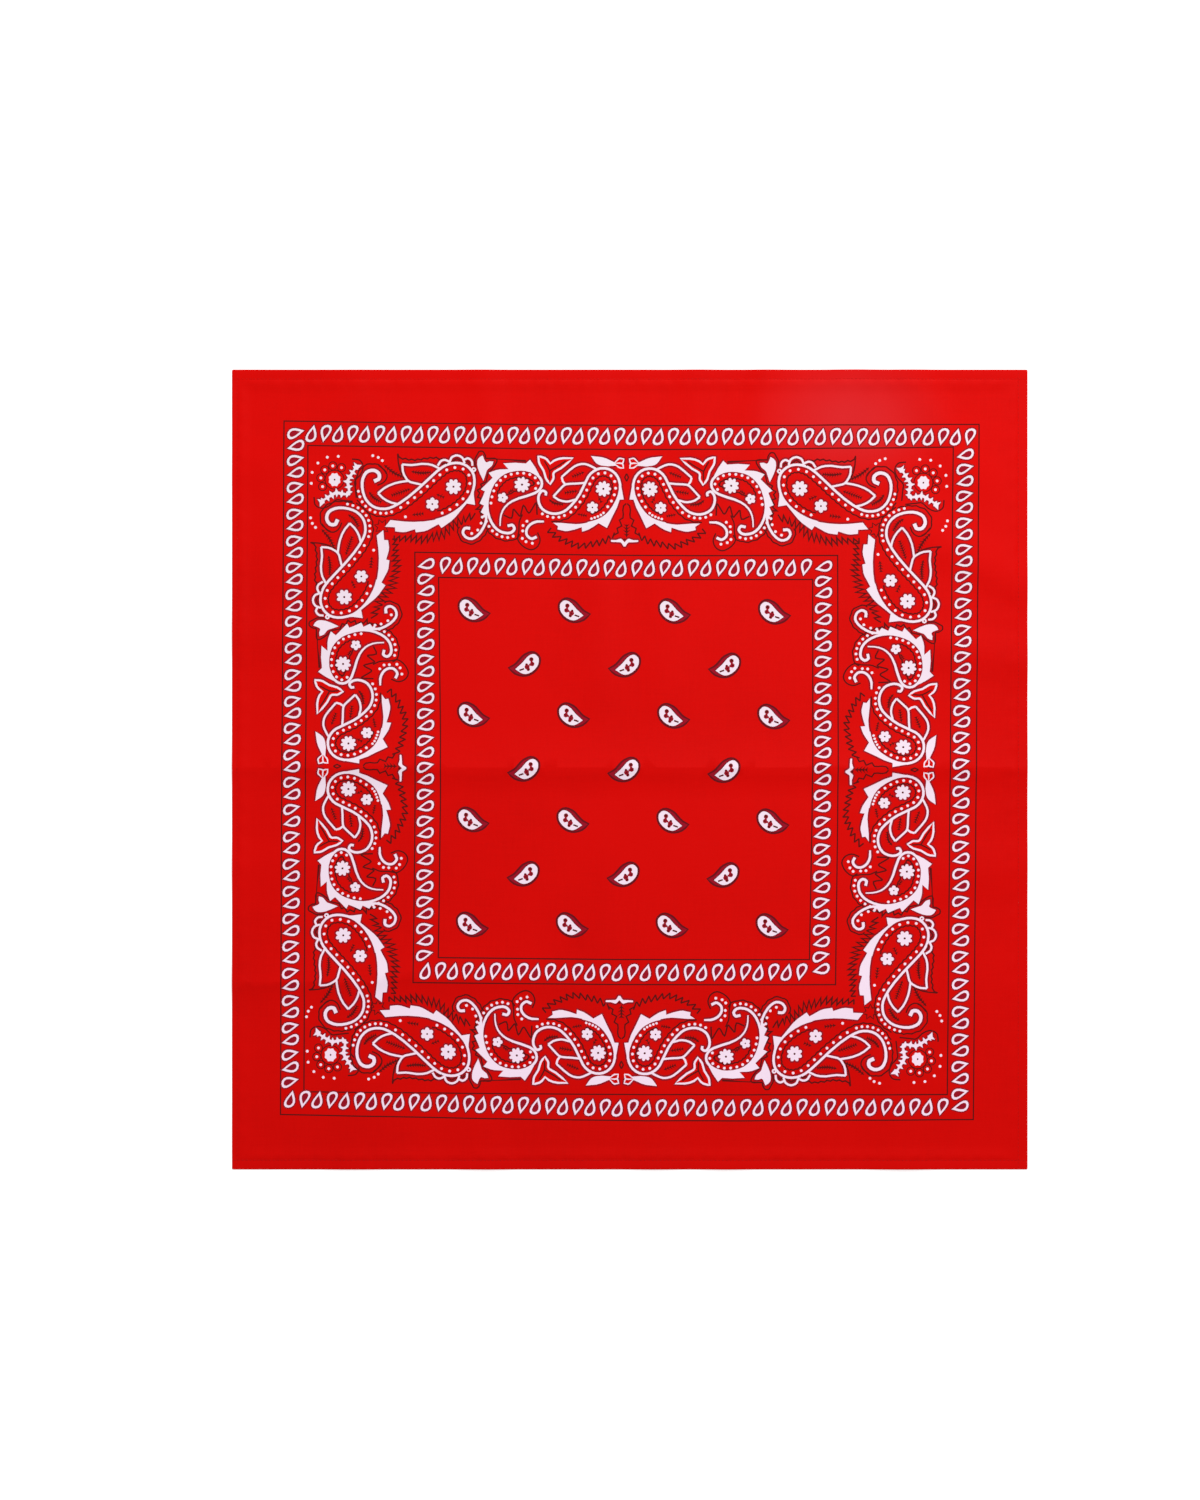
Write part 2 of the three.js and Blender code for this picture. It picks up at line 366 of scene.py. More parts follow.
def corner_paisley():
    """The long paisley whose tail curls round at the corner."""
    back = smooth_line(
        (174.6, 198.4), (171.2, 200.2), (171.4, 203.9), (175.2, 206.0), (180.0, 204.4), (182.7, 198.8),
        (182.4, 191.5), (179.6, 184.8), (174.0, 180.3), (166.3, 179.4), (158.8, 182.3), (150.2, 188.2),
        (141.0, 196.2), (131.5, 205.2), (124.5, 210.0), (117.2, 211.4), (110.9, 209.6), (106.3, 204.6),
        (105.2, 197.5), (107.4, 189.2), (112.6, 182.4), (119.0, 177.4), (126.0, 173.8), (132.0, 172.0),
    )
    wing = cornered(
        (163.3, 171.6), [(167.0, 167.0)], [(160.1, 166.6)], [(159.9, 163.8)],
        [(153.6, 163.3), (146.3, 165.4)], [(145.7, 163.2)], [(138.6, 164.4), (130.0, 169.0)],
        [(128.0, 166.3)], [(119.6, 172.6), (110.6, 183.4)], [(104.8, 182.4)],
        [(105.7, 190.0), (105.2, 197.5)],
        [(107.4, 189.2), (112.6, 182.4), (121.7, 176.4), (129.0, 173.0), (138.0, 171.0),
         (150.0, 170.4), (163.3, 171.6)],
    )
    near_leaf = smooth_line((171.9, 190.1), (166.6, 194.3), (159.5, 197.3), (151.0, 198.8))
    near_leaf_under = smooth_line((171.9, 190.1), (168.0, 186.4), (163.3, 183.9), (158.0, 182.6))
    far_leaf = smooth_line((155.1, 210.1), (154.4, 204.2), (151.0, 198.8), (146.3, 197.2), (141.0, 196.0))
    far_leaf_top = smooth_line((155.1, 210.1), (148.2, 209.7), (141.5, 210.6), (135.0, 210.0), (129.2, 207.4))
    curl_side = smooth_line((171.6, 209.4), (166.8, 205.6), (165.6, 201.4), (168.0, 197.6), (172.4, 195.6))
    shapes = contour(back, 4.6, 0.035, 0.2) + contour(back, CONTOUR_AWAY, 0.2, 0.985)
    shapes += stroke(BLACK, curl_side, HAIR)
    shapes += thorns(BLACK, smooth_line((149.6, 193.2), (156.0, 191.0), (162.5, 188.6)), 2.3, 1.7)
    shapes += thorns(BLACK, smooth_line((148.8, 205.2), (142.0, 204.2), (135.4, 204.8)), 2.2, 1.7)
    shapes += thorns(BLACK, smooth_line((178.0, 191.0), (175.0, 187.0), (169.6, 184.0)), 2.4, 1.7)
    shapes += thorns(BLACK, smooth_line((167.6, 209.6), (161.5, 204.6), (153.6, 200.8)), 2.2, 2.2)
    leaf_top = smooth_line((157.0, 214.6), (146.0, 213.2), (134.0, 215.0), (127.5, 213.6))
    shapes += zigzag(leaf_top, (1.1, 1.1), 4.2, 0.3)
    shapes += stroke(BLACK, smooth_line((157.0, 214.6), (158.3, 217.0), (157.4, 208.6), (155.4, 202.6)), HAIR)
    shapes += thorns(BLACK, smooth_line((131.4, 189.6), (126.2, 187.4)), 1.9, 1.7)
    shapes += thorns(BLACK, smooth_line((148.2, 175.2), (140.4, 176.2)), 2.0, 1.9)
    shapes += solid(wing) + stroke(WHITE, back, BOLD, (1.5, 0.6))
    for leaf in (near_leaf, near_leaf_under, far_leaf, far_leaf_top):
        shapes += stroke(WHITE, leaf, FINE)
    for scallop in (
        smooth_line((130.6, 209.4), (128.4, 212.6), (125.4, 213.4), (122.2, 211.9)),
        smooth_line((122.6, 211.4), (120.9, 215.2), (117.2, 216.6), (113.6, 215.0), (112.0, 211.2)),
        smooth_line((112.8, 213.4), (109.6, 214.6), (107.0, 212.6), (106.6, 209.4)),
    ):
        shapes += stroke(WHITE, scallop, FINE)
    for arch in (smooth_line((128.0, 210.4), (125.8, 211.2), (124.0, 210.9)),
                 smooth_line((120.6, 212.4), (117.4, 214.2), (114.2, 212.4)),
                 smooth_line((111.4, 211.6), (109.6, 212.2), (108.4, 210.6))):
        shapes += stroke(BLACK, arch, HAIR)
    shapes += dot(WHITE, (105.6, 206.8), 1.7) + dot(CRIMSON, (105.6, 206.8), 0.6, 6)
    shapes += dots_along(beside(back, DOTS_AWAY, 0.165, 0.335), TIGHT_DOT_PITCH)
    shapes += dots_along(beside(back, DOTS_AWAY, 0.345, 0.985), WIDE_DOT_PITCH)
    shapes += dot(WHITE, (152.9, 173.9), DOT)
    shapes += flower((119.7, 194.9), 5.3, 8) + flower((134.3, 182.8), 4.5, 6)
    return shapes


def contour(line, offset, first, last):
    """A thin black line at a distance from a white one, which waves a little as it follows the dots."""
    even = stretch_of(line, first, last, 1.1)
    wave = 0.3 * np.cos(distances(even) * 2 * math.pi / DOT_PITCH)
    followed = even + left_of(even) * (offset + wave)[:, None]
    return stroke(BLACK, thinned(followed, 0.12), HAIR)


def lily():
    bloom = cornered(
        (99.5, 216.6), [(102.0, 215.0), (103.3, 212.2), (102.6, 207.0), (99.0, 199.1)],
        [(97.6, 203.0), (96.4, 206.6), (93.2, 209.4), (92.1, 212.4)], [(94.6, 212.6), (96.8, 211.8)],
        [(98.0, 212.8), (99.5, 216.6)],
    )
    surround = smooth_line(
        (104.2, 204.0), (105.0, 213.0), (103.6, 216.4), (102.0, 219.2), (99.4, 219.3), (97.6, 216.6),
        (97.0, 214.6), (91.0, 214.6), (89.6, 212.6), (92.4, 207.8), (95.6, 204.4), (97.4, 197.6),
    )
    gap = smooth_line((98.6, 198.4), (102.6, 190.6), (101.0, 184.4), (103.0, 180.4), (99.6, 177.0))
    return stroke(BLACK, surround, HAIR) + zigzag(gap, (2.2, 3.0), 4.4, 0.3) + solid(bloom)


def hook_paisley():
    """The paisley whose tail hooks inwards, with a thorny crown on its outside."""
    line = smooth_line(
        (82.3, 168.0), (79.0, 168.6), (77.6, 166.0), (79.6, 163.6), (83.0, 163.0), (87.9, 164.4),
        (92.2, 168.4), (95.2, 174.6), (96.4, 181.6), (95.4, 189.2), (92.1, 197.4), (85.9, 203.8),
        (78.3, 206.6), (69.9, 206.9), (63.2, 204.4), (59.1, 200.1), (58.9, 195.3), (62.0, 191.6),
        (67.6, 189.2), (74.6, 187.1), (80.8, 184.1), (85.0, 179.8), (87.1, 174.4), (87.5, 168.0),
    )
    crown = cornered(
        (96.2, 173.0), [(98.4, 175.8)], [(100.8, 177.4)], [(98.6, 182.0)], [(101.6, 183.4)],
        [(99.6, 187.6), (98.0, 191.8)], [(100.8, 193.2)], [(97.0, 196.8), (92.6, 201.2)],
        [(95.4, 204.6)], [(89.0, 206.8), (81.6, 207.2)], [(85.2, 211.2)],
        [(77.0, 211.7), (69.6, 211.2)], [(66.8, 213.9)], [(63.4, 209.0), (60.4, 203.4)],
        [(69.9, 206.9), (78.3, 206.6), (85.9, 203.8), (92.1, 197.4), (95.4, 189.2), (96.4, 181.6),
         (96.2, 173.0)],
    )
    scroll = smooth_line(
        (97.4, 178.0), (97.2, 171.6), (99.2, 166.4), (102.7, 161.6), (106.9, 159.0), (111.1, 160.0),
        (113.2, 163.2), (111.8, 166.2), (108.2, 166.2),
    )
    hollow = smooth_line((83.4, 173.6), (79.4, 177.0), (72.8, 178.6), (66.0, 180.2), (60.6, 178.6))
    shapes = contour(line, -CONTOUR_AWAY, 0.05, 0.25) + contour(line, CONTOUR_AWAY, 0.34, 0.9)
    shapes += contour(scroll, -3.6, 0.1, 0.88)
    shapes += zigzag(hollow, (5.6, 9.4), 7.2, -0.1)
    shapes += thorns(BLACK, smooth_line((82.0, 190.8), (78.6, 193.0)), 1.7, 1.6)
    shapes += stroke(BLACK, smooth_line((97.4, 214.4), (91.0, 214.2), (84.0, 213.9)), RING_HAIR)
    shapes += stroke(BLACK, smooth_line((84.0, 213.9), (77.8, 213.6), (69.6, 213.0)), HEAVY, (0.5, 1.0))
    shapes += solid(crown) + stroke(WHITE, line, BOLD, (1.1, 0.5)) + stroke(WHITE, scroll, BOLD, (0.8, 1.2))
    shapes += dots_along(beside(line, 2.4, 0.27, 0.74))
    shapes += dots_along(beside(line, -3.0, 0.06, 0.24), 4.0)
    for place in ((99.8, 174.0), (100.6, 169.8), (102.9, 165.0), (107.1, 162.6)):
        shapes += dot(WHITE, place, DOT)
    return shapes + flower((72.3, 196.6), 5.3, 9) + flower((85.7, 187.5), 3.5, 5)


def comma_scroll():
    line = smooth_line(
        (57.2, 171.2), (62.5, 171.0), (66.9, 168.8), (69.3, 165.1), (68.8, 161.4), (65.6, 159.2),
        (62.2, 160.6),
    )
    surround = smooth_line(
        (72.0, 176.0), (74.2, 171.0), (74.4, 165.0), (75.2, 158.6), (71.4, 153.8), (66.0, 151.6),
        (61.6, 153.8), (59.8, 158.6), (61.6, 163.6),
    )
    shapes = stroke(BLACK, surround, HAIR) + stroke(WHITE, line, BOLD, (0.7, 1.1))
    for place in ((68.9, 171.3), (71.6, 168.3), (71.8, 164.6), (72.1, 159.4), (69.6, 157.2), (65.2, 156.1)):
        shapes += dot(WHITE, place, DOT)
    return shapes


def calyx():
    petals = cornered(
        (61.0, 216.4), [(60.4, 211.4), (57.4, 206.4), (55.8, 201.0), (52.9, 197.0)],
        [(50.6, 200.8), (50.2, 205.2), (44.6, 208.6), (37.1, 215.0)],
        [(44.5, 215.0), (49.6, 213.6), (52.8, 211.2)], [(56.0, 214.8), (61.0, 216.4)],
    )
    shapes = loop_stroke(WHITE, petals, FINE)
    shapes += stroke(BLACK, smooth_line((53.4, 200.0), (53.2, 206.0), (56.8, 213.0)), HAIR)
    shapes += stroke(BLACK, smooth_line((53.0, 206.4), (47.0, 209.8), (42.0, 213.2)), HAIR)
    return shapes


def inner_paisley():
    """The paisley beside the middle of the side, which leans on its mirror image."""
    line = smooth_line(
        (56.0, 189.2), (55.8, 191.4), (58.4, 192.4), (60.6, 189.6), (60.9, 185.2), (58.8, 180.4),
        (54.4, 177.4), (48.8, 176.6), (42.9, 178.4), (37.8, 182.9), (33.0, 189.2), (29.3, 196.6),
        (25.4, 203.8), (19.3, 207.8), (12.4, 207.6), (7.0, 203.6), (4.5, 197.0), (5.3, 189.4),
        (9.0, 181.8), (14.0, 175.8), (20.4, 172.1), (27.0, 170.4),
    )
    wing = cornered(
        (50.8, 170.3), [(47.4, 168.0)], [(47.8, 165.8)], [(42.0, 164.6), (36.5, 165.6), (31.0, 167.4)],
        [(30.7, 164.2)], [(25.4, 166.2), (19.4, 170.2)], [(13.6, 166.9)],
        [(10.5, 173.6), (6.8, 180.8), (4.8, 186.6)], [(2.0, 186.7)], [(2.8, 191.4), (3.9, 197.0)],
        [(5.3, 189.4), (9.0, 181.8), (14.0, 175.8), (20.4, 172.1), (27.0, 170.4), (35.0, 169.4),
         (44.0, 170.2), (50.8, 170.3)],
    )
    low_leaf = smooth_line((50.6, 188.6), (46.6, 186.0), (41.2, 185.0), (35.4, 186.4))
    low_leaf_top = smooth_line((50.6, 188.6), (46.8, 192.6), (42.4, 196.8), (35.6, 197.4), (28.8, 198.0))
    high_leaf = smooth_line(
        (44.9, 202.0), (40.4, 206.0), (34.9, 210.0), (29.4, 211.1), (24.6, 209.6), (20.4, 207.2),
    )
    high_leaf_under = smooth_line((44.9, 202.0), (44.2, 199.2), (42.4, 196.8))
    shapes = contour(line, CONTOUR_AWAY, 0.2, 0.97)
    shapes += thorns(BLACK, smooth_line((34.0, 192.4), (38.6, 191.6), (42.8, 191.0)), 2.1, 1.7)
    shapes += thorns(BLACK, smooth_line((29.4, 205.4), (33.4, 203.8), (37.6, 202.2)), 2.1, 1.7)
    shapes += thorns(BLACK, smooth_line((53.6, 186.4), (50.0, 183.8), (44.0, 183.0)), 2.0, 1.7)
    shapes += thorns(BLACK, smooth_line((19.4, 188.0), (17.4, 184.4)), 1.8, 1.7)
    shapes += thorns(BLACK, smooth_line((34.0, 176.4), (27.6, 175.2)), 1.6, 1.8)
    shapes += solid(wing) + stroke(WHITE, line, BOLD, (1.0, 0.6))
    for leaf in (low_leaf, low_leaf_top, high_leaf, high_leaf_under):
        shapes += stroke(WHITE, leaf, FINE)
    shapes += dots_along(beside(line, 2.7, 0.145, 0.27), TIGHT_DOT_PITCH)
    shapes += dots_along(beside(line, DOTS_AWAY, 0.275, 0.875), 4.6)
    shapes += dots_along(smooth_line((25.4, 172.9), (21.2, 174.2), (17.6, 175.9), (15.0, 178.0)), 2.5, 0.9)
    return shapes + flower((16.1, 193.9), 5.3, 9) + flower((23.6, 181.0), 4.0, 6)


def leaf_and_bud():
    leaf = cornered(
        (24.6, 216.6), [(16.0, 215.5), (8.6, 212.4), (3.6, 209.6)],
        [(8.0, 210.0), (14.0, 209.6), (20.4, 211.2), (24.6, 216.6)],
    )
    shapes = solid(leaf)
    for tip in ((1.9, 214.6), (2.2, 208.4)):
        petal = cornered((8.6, 211.6), [(5.2, tip[1] + 0.4), tip], [(3.2, 211.6), (8.6, 211.6)])
        shapes += loop_stroke(WHITE, petal, 1.0)
    return shapes + dot(BLACK, (4.3, 213.0), 0.4, 6) + dot(BLACK, (4.5, 210.2), 0.4, 6)


def zigzag_hems():
    """The two black zigzags that follow the band's inner side under the paisleys."""
    long_one = smooth_line(
        (161.4, 159.6), (153.0, 158.8), (142.0, 158.6), (133.0, 159.6), (125.0, 163.4), (119.0, 168.6),
        (113.0, 172.8), (105.4, 174.2),
    )
    short_one = smooth_line(
        (54.0, 166.0), (50.6, 162.8), (46.6, 159.4), (40.2, 156.4), (31.8, 154.6), (24.0, 155.2),
        (17.4, 157.2), (12.0, 160.0), (8.4, 161.6),
    )
    return zigzag(long_one, (3.6, 6.2, 7.0, 5.0), 3.8) + zigzag(short_one, (4.4, 4.4), 4.5)


def half_band():
    shapes = zigzag_hems() + lily() + comma_scroll() + hook_paisley() + inner_paisley() + corner_paisley()
    return shapes + calyx() + leaf_and_bud()


def keylines(shapes, fewest=9):
    """The thin dark edge round the white shapes whose outlines have at least so many points."""
    large = [outline for ink_used, outline in shapes if ink_used == WHITE and len(outline) >= fewest]
    return [(DARK_RED, grown(outline, KEYLINE)) for outline in large]


def grown(outline, by):
    """A closed outline moved outwards."""
    around = np.roll(outline, -1, axis=0) - np.roll(outline, 1, axis=0)
    around = around / np.maximum(np.linalg.norm(around, axis=1, keepdims=True), 1e-9)
    side = np.column_stack([around[:, 1], -around[:, 0]]) * by
    return outline + side if turns_left(outline) else outline - side


BIRD_SHIFT = np.array((-1.4, 0.0))


def band_middle():
    """What stands on the middle line of each side: a bird mark, and a black thorn sprig over it."""
    bird = cornered(
        (-9.3, 158.6), [(-6.0, 158.6), (-2.8, 159.6)], [(-1.9, 159.2)], [(0, 157.1)], [(1.9, 159.2)],
        [(2.8, 159.6)], [(6.0, 158.6), (9.3, 158.6)],
        [(9.2, 157.4), (5.0, 157.1), (2.5, 156.9), (0.6, 154.2)], [(-0.6, 154.2)],
        [(-2.5, 156.9), (-5.0, 157.1), (-9.2, 157.4), (-9.3, 158.6)],
    )
    thorny = [
        (0.3, 183.9), (2.1, 182.3), (2.6, 179.4), (2.3, 176.4), (2.5, 174.0), (5.0, 172.4),
        (3.3, 168.4), (6.6, 166.7), (5.8, 163.6), (9.4, 161.6),
    ]
    shapes = []
    for hand in (-1, 1):
        edge = np.array(thorny) * (hand, 1)
        shapes += stroke(BLACK, edge, HAIR)
        shapes += stroke(BLACK, np.array([(0, 204.6), (hand * 1.3, 202.0), (0, 199.2)]), HAIR)
    shapes += thorns(BLACK, np.array([(0, 160.6), (0, 165.0), (0, 169.4)]), 3.0, 2.0)
    return shapes + solid(bird + BIRD_SHIFT) + dot(BLACK, BIRD_SHIFT + (0, 158.9), 0.9, 6)


def band(edged=True):
    """The paisley band: the half band on both halves of the four sides."""
    half, middle = half_band(), band_middle()
    if edged:
        half = keylines(half) + half
        middle = keylines(middle) + middle
    shapes = []
    for side in SIDES:
        for hand in (-1, 1):
            shapes += [(ink, on_side(side, hand, outline)) for ink, outline in half]
        shapes += [(ink, on_side(side, 1, outline)) for ink, outline in middle]
    return shapes


# The rosettes in the band's corners, drawn for the top left one about its middle
ROSETTES = (
    dict(x=-204.1, y=200.4, flip=(1, 1)),
    dict(x=203.0, y=198.3, flip=(-1, 1)),
    dict(x=-206.9, y=-197.3, flip=(1, -1)),
    dict(x=199.0, y=-200.2, flip=(-1, -1)),
)


# The thin star between two long paisleys, from its rosette's middle
STAR_AT = np.array((32.8, -32.6))
STAR_POINTS = 7
STAR_REACH = (3.0, 5.4)


def fan_of_dots(radius, count, first, last):
    """Dots on an arc, for angles in degrees from the first to the last."""
    turns = np.radians(np.linspace(first, last, count))
    return radius * np.column_stack([np.cos(turns), np.sin(turns)])


def rosette(edged):
    shapes = []
    inner = fan_of_dots(9.6, 5, 60, 210)
    for place in inner:
        shapes += loop_stroke(BLACK, dot(BLACK, place, 2.9, 10)[0][1], RING_HAIR)
    shapes += loop_stroke(BLACK, dot(BLACK, (0, 0), 6.6, 18)[0][1], RING_HAIR)
    for place in inner:
        shapes += dot(WHITE, place, DOT)
    for place in fan_of_dots(16.3, 5, 81, 189):
        shapes += dot(WHITE, place, DOT)
    # one arm of the thorny angle, and its mirror image across the diagonal
    arm = np.array([(10.3, -10.6), (9.8, -5.0), (9.0, -1.0), (11.8, 4.0), (15.4, 9.6)])
    guard = smooth_line(
        (15.0, -12.6), (14.4, -6.0), (14.0, -1.0), (18.0, 3.6), (19.8, 9.0), (17.4, 13.4), (12.0, 14.2),
    )
    tail = np.array([(14.2, 7.8), (13.4, 12.0), (15.7, 10.3), (18.8, 10.2), (16.2, 7.4)])
    dots_off = np.array([(26.4, 16.6), (30.2, 15.4), (33.0, 13.2)])
    sprig = []
    for swap in (False, True):
        shapes += stroke(BLACK, mirrored(guard, swap), HAIR)
        sprig += thorns(WHITE, mirrored(smooth_line(*arm), swap), 3.3, 3.8, 1.9, 0.1, 0.36)
        sprig += solid(mirrored(tail, swap))
        for place in mirrored(dots_off, swap):
            shapes += dot(WHITE, place, DOT)
    if edged:
        sprig = keylines(sprig, 3) + sprig
    turns = np.arange(STAR_POINTS * 2) * math.pi / STAR_POINTS + 0.2
    reach = np.where(np.arange(STAR_POINTS * 2) % 2, *STAR_REACH)
    star = STAR_AT + reach[:, None] * np.column_stack([np.cos(turns), np.sin(turns)])
    shapes += loop_stroke(BLACK, star, HAIR)
    flower_outline = flower((0, 0), 4.7, 8, 0.88)
    return shapes + sprig + [(ink, outline * (0.88, 1.0)) for ink, outline in flower_outline]


def mirrored(points, swap):
    """The points, or their mirror image across the corner's diagonal."""
    if swap:
        return -points[:, ::-1]
    return points


def rosettes(edged=True):
    drawn = rosette(edged)
    shapes = []
    for place in ROSETTES:
        centre = np.array([place["x"], place["y"]])
        shapes += [(ink, outline * place["flip"] + centre) for ink, outline in drawn]
    return shapes


# The frames: thin black lines, each given by its two ends and its middle, because they bow a little
FRAME_LINES = (
    ((-239.0, 240.9), (0.0, 237.8), (241.5, 238.6)),
    ((-241.5, -238.5), (0.0, -242.7), (237.5, -242.0)),
    ((-239.0, 240.9), (-240.6, 0.0), (-241.5, -238.5)),
    ((241.5, 238.6), (239.5, 0.0), (237.5, -242.0)),
    ((-222.5, 224.0), (0.0, 221.2), (223.5, 222.8)),
    ((-225.3, -222.8), (0.0, -224.7), (219.5, -224.7)),
    ((-222.5, 224.0), (-224.2, 0.0), (-225.3, -222.8)),
    ((223.5, 222.8), (221.5, 0.0), (219.5, -224.7)),
    ((-148.6, 150.2), (0.0, 148.0), (143.7, 148.0)),
    ((-149.8, -147.2), (0.0, -148.7), (142.2, -148.7)),
    ((-148.6, 150.2), (-148.3, 0.0), (-149.8, -147.2)),
    ((143.7, 148.0), (144.0, 0.0), (142.2, -148.7)),
    ((-132.2, 132.8), (0.0, 131.4), (126.4, 131.4)),
    ((-132.4, -130.0), (0.0, -131.4), (124.2, -131.4)),
    ((-132.2, 132.8), (-130.8, 0.0), (-132.4, -130.0)),
    ((126.4, 131.4), (126.4, 0.0), (124.2, -131.4)),
)

FRAME_STEP = 9.0

# The rows of drops: their first, middle and last drops, how many there are, and which way the first points
DROP_ROWS = (
    dict(ends=((-219.7, 232.3), (10.9, 230.2), (234.9, 229.9)),
         middle=25, count=50, upright=True, first="tip"),
    dict(ends=((-234.6, -227.8), (-8.1, -234.0), (215.9, -233.3)),
         middle=24, count=48, upright=True, first="tip"),
    dict(ends=((-230.8, 232.7), (-233.5, 10.7), (-234.9, -215.7)),
         middle=24, count=49, upright=False, first="tip"),
    dict(ends=((231.8, 217.4), (229.0, -4.8), (228.3, -233.3)),
         middle=24, count=49, upright=False, first="tail"),
    dict(ends=((-128.1, 141.0), (-5.4, 139.0), (121.5, 139.7)),
         middle=13, count=27, upright=True, first="tail"),
    dict(ends=((-140.9, -139.0), (-8.1, -140.4), (118.4, -140.0)),
         middle=14, count=28, upright=True, first="tip"),
    dict(ends=((-140.9, 141.7), (-141.2, 2.1), (-141.9, -127.9)),
         middle=15, count=30, upright=False, first="tail"),
    dict(ends=((134.0, 140.0), (133.3, 1.7), (132.2, -138.3)),
         middle=15, count=31, upright=False, first="tail"),
)
DROP_LENGTH = 12.0
DROP_WIDTH = 7.5
DROP_LEAN = 0.27


def drop_outline(length, width, samples):
    """A drop about its middle with its point up, leaning to the right."""
    t = np.arange(samples) * 2 * math.pi / samples
    across = np.sin(t) * np.sin(t / 2) ** 1.5 / 1.42 * width
    up = np.cos(t) * length / 2
    return np.column_stack([across + DROP_LEAN * up, up])


def drop(edged):
    """A drop: a white outline round a crimson inside, with thin dark edges to the white."""
    white = drop_outline(DROP_LENGTH, DROP_WIDTH, 16)
    inside = drop_outline(DROP_LENGTH - 4.2, DROP_WIDTH - 3.0, 12) + (-0.2, -0.6)
    if not edged:
        return [(WHITE, white), (CRIMSON, inside)]
    middle = drop_outline(DROP_LENGTH - 6.2, DROP_WIDTH - 4.3, 8) + (-0.3, -0.9)
    return [(DARK_RED, grown(white, DROP_KEYLINE)), (WHITE, white), (DARK_RED, inside), (CRIMSON, middle)]


def drop_rows(edged=True):
    drawn = drop(edged)
    shapes = []
    for row in DROP_ROWS:
        number = np.arange(row["count"])
        known = (0, row["middle"], row["count"] - 1)
        places = np.column_stack([np.interp(number, known, [end[k] for end in row["ends"]]) for k in (0, 1)])
        for k, place in enumerate(places):
            points_on = (k % 2 == 0) == (row["first"] == "tip")
            turn = 1 if points_on else -1
            for ink, outline in drawn:
                shape = outline if row["upright"] else outline[:, ::-1]
                shapes.append((ink, shape * turn + place))
    return shapes


# The small paisleys in the middle: the corners of their grid, and the second grid's shift in it
GRID_CORNERS = dict(top_left=(-110.6, 110.1), top_right=(97.1, 108.5), low_left=(-111.8, -107.6),
                    low_right=(95.4, -108.7))
GRID_COUNT = 4
BETWEEN_SHIFT = (6.3, -1.1)


def small_paisley():
    """A small white paisley with its head at the upper left, two clover marks and a dark surround."""
    ring = cornered(
        (13.9, -2.2),
        [(9.5, 0.2), (6.8, 3.1), (3.4, 6.6), (-1.2, 8.7), (-4.8, 8.1), (-7.4, 5.4), (-7.8, 2.4),
         (-6.9, -1.0), (-4.4, -4.4), (-0.6, -6.9), (4.1, -7.7), (9.4, -6.2), (13.9, -2.2)],
    )
    body = cornered(
        (9.3, -3.1),
        [(5.6, 0.2), (3.1, 2.9), (1.1, 5.3), (-1.6, 7.1), (-4.4, 7.2), (-6.7, 5.0), (-7.0, 2.4),
         (-6.2, -0.6), (-3.6, -3.8), (0.2, -6.1), (4.2, -6.2), (9.3, -3.1)],
    )
    surround = [(MAROON, grown(ring, 0.75)), (CRIMSON, grown(ring, -0.55)), (MAROON, grown(body, 0.55))]
    shapes = surround + solid(body)
    for place, radius in (((-1.8, 3.7), 1.6), ((-2.0, 1.9), 0.85), ((-2.4, 0.5), 1.65), ((-0.9, 0.0), 0.8),
                          ((1.5, 0.1), 0.95), ((1.1, -1.5), 1.85), ((0.3, -3.2), 1.25)):
        shapes += dot(CRIMSON, place, radius, 7)
    for place, radius in (((-1.9, 3.9), 1.05), ((-2.6, 0.5), 0.6), ((1.6, 0.2), 0.65), ((1.0, -1.7), 0.6),
                          ((0.2, -3.4), 0.85)):
        shapes += dot(BLACK, place, radius, 6)
    return shapes + stroke(BLACK, smooth_line((3.2, -2.8), (4.8, -3.3), (6.4, -3.9)), 1.1)


def small_paisleys():
    corners = {name: np.array(place) for name, place in GRID_CORNERS.items()}
    drawn = small_paisley()
    shapes = []

    def add(across, down, flip, shift):
        upper = corners["top_left"] * (1 - across) + corners["top_right"] * across
        lower = corners["low_left"] * (1 - across) + corners["low_right"] * across
        place = upper * (1 - down) + lower * down + shift
        shapes.extend((ink, outline * (flip, 1) + place) for ink, outline in drawn)

    steps = GRID_COUNT - 1
    for row in range(GRID_COUNT):
        for column in range(GRID_COUNT):
            add(column / steps, row / steps, 1, 0.0)
    for row in range(steps):
        for column in range(steps):
            add((column + 0.5) / steps, (row + 0.5) / steps, -1, np.array(BETWEEN_SHIFT))
    return shapes


def frames():
    """The frame lines, with points close enough together to follow the cloth over its folds."""
    shapes = []
    for nodes in FRAME_LINES:
        line = stretch_of(smooth_line(*nodes, step=FRAME_STEP), 0, 1, FRAME_STEP)
        reach = headings(line)[[0, -1]] * FRAME_HAIR / 2
        line[0] -= reach[0]
        line[-1] += reach[1]
        shapes += stroke(BLACK, line, FRAME_HAIR)
    return shapes


def whole_print():
    return frames() + drop_rows() + small_paisleys() + rosettes() + band()


# The cloth: heights in millimetres above the surface that it lies on


def smooth(share):
    share = np.clip(share, 0, 1)
    return share * share * (3 - 2 * share)


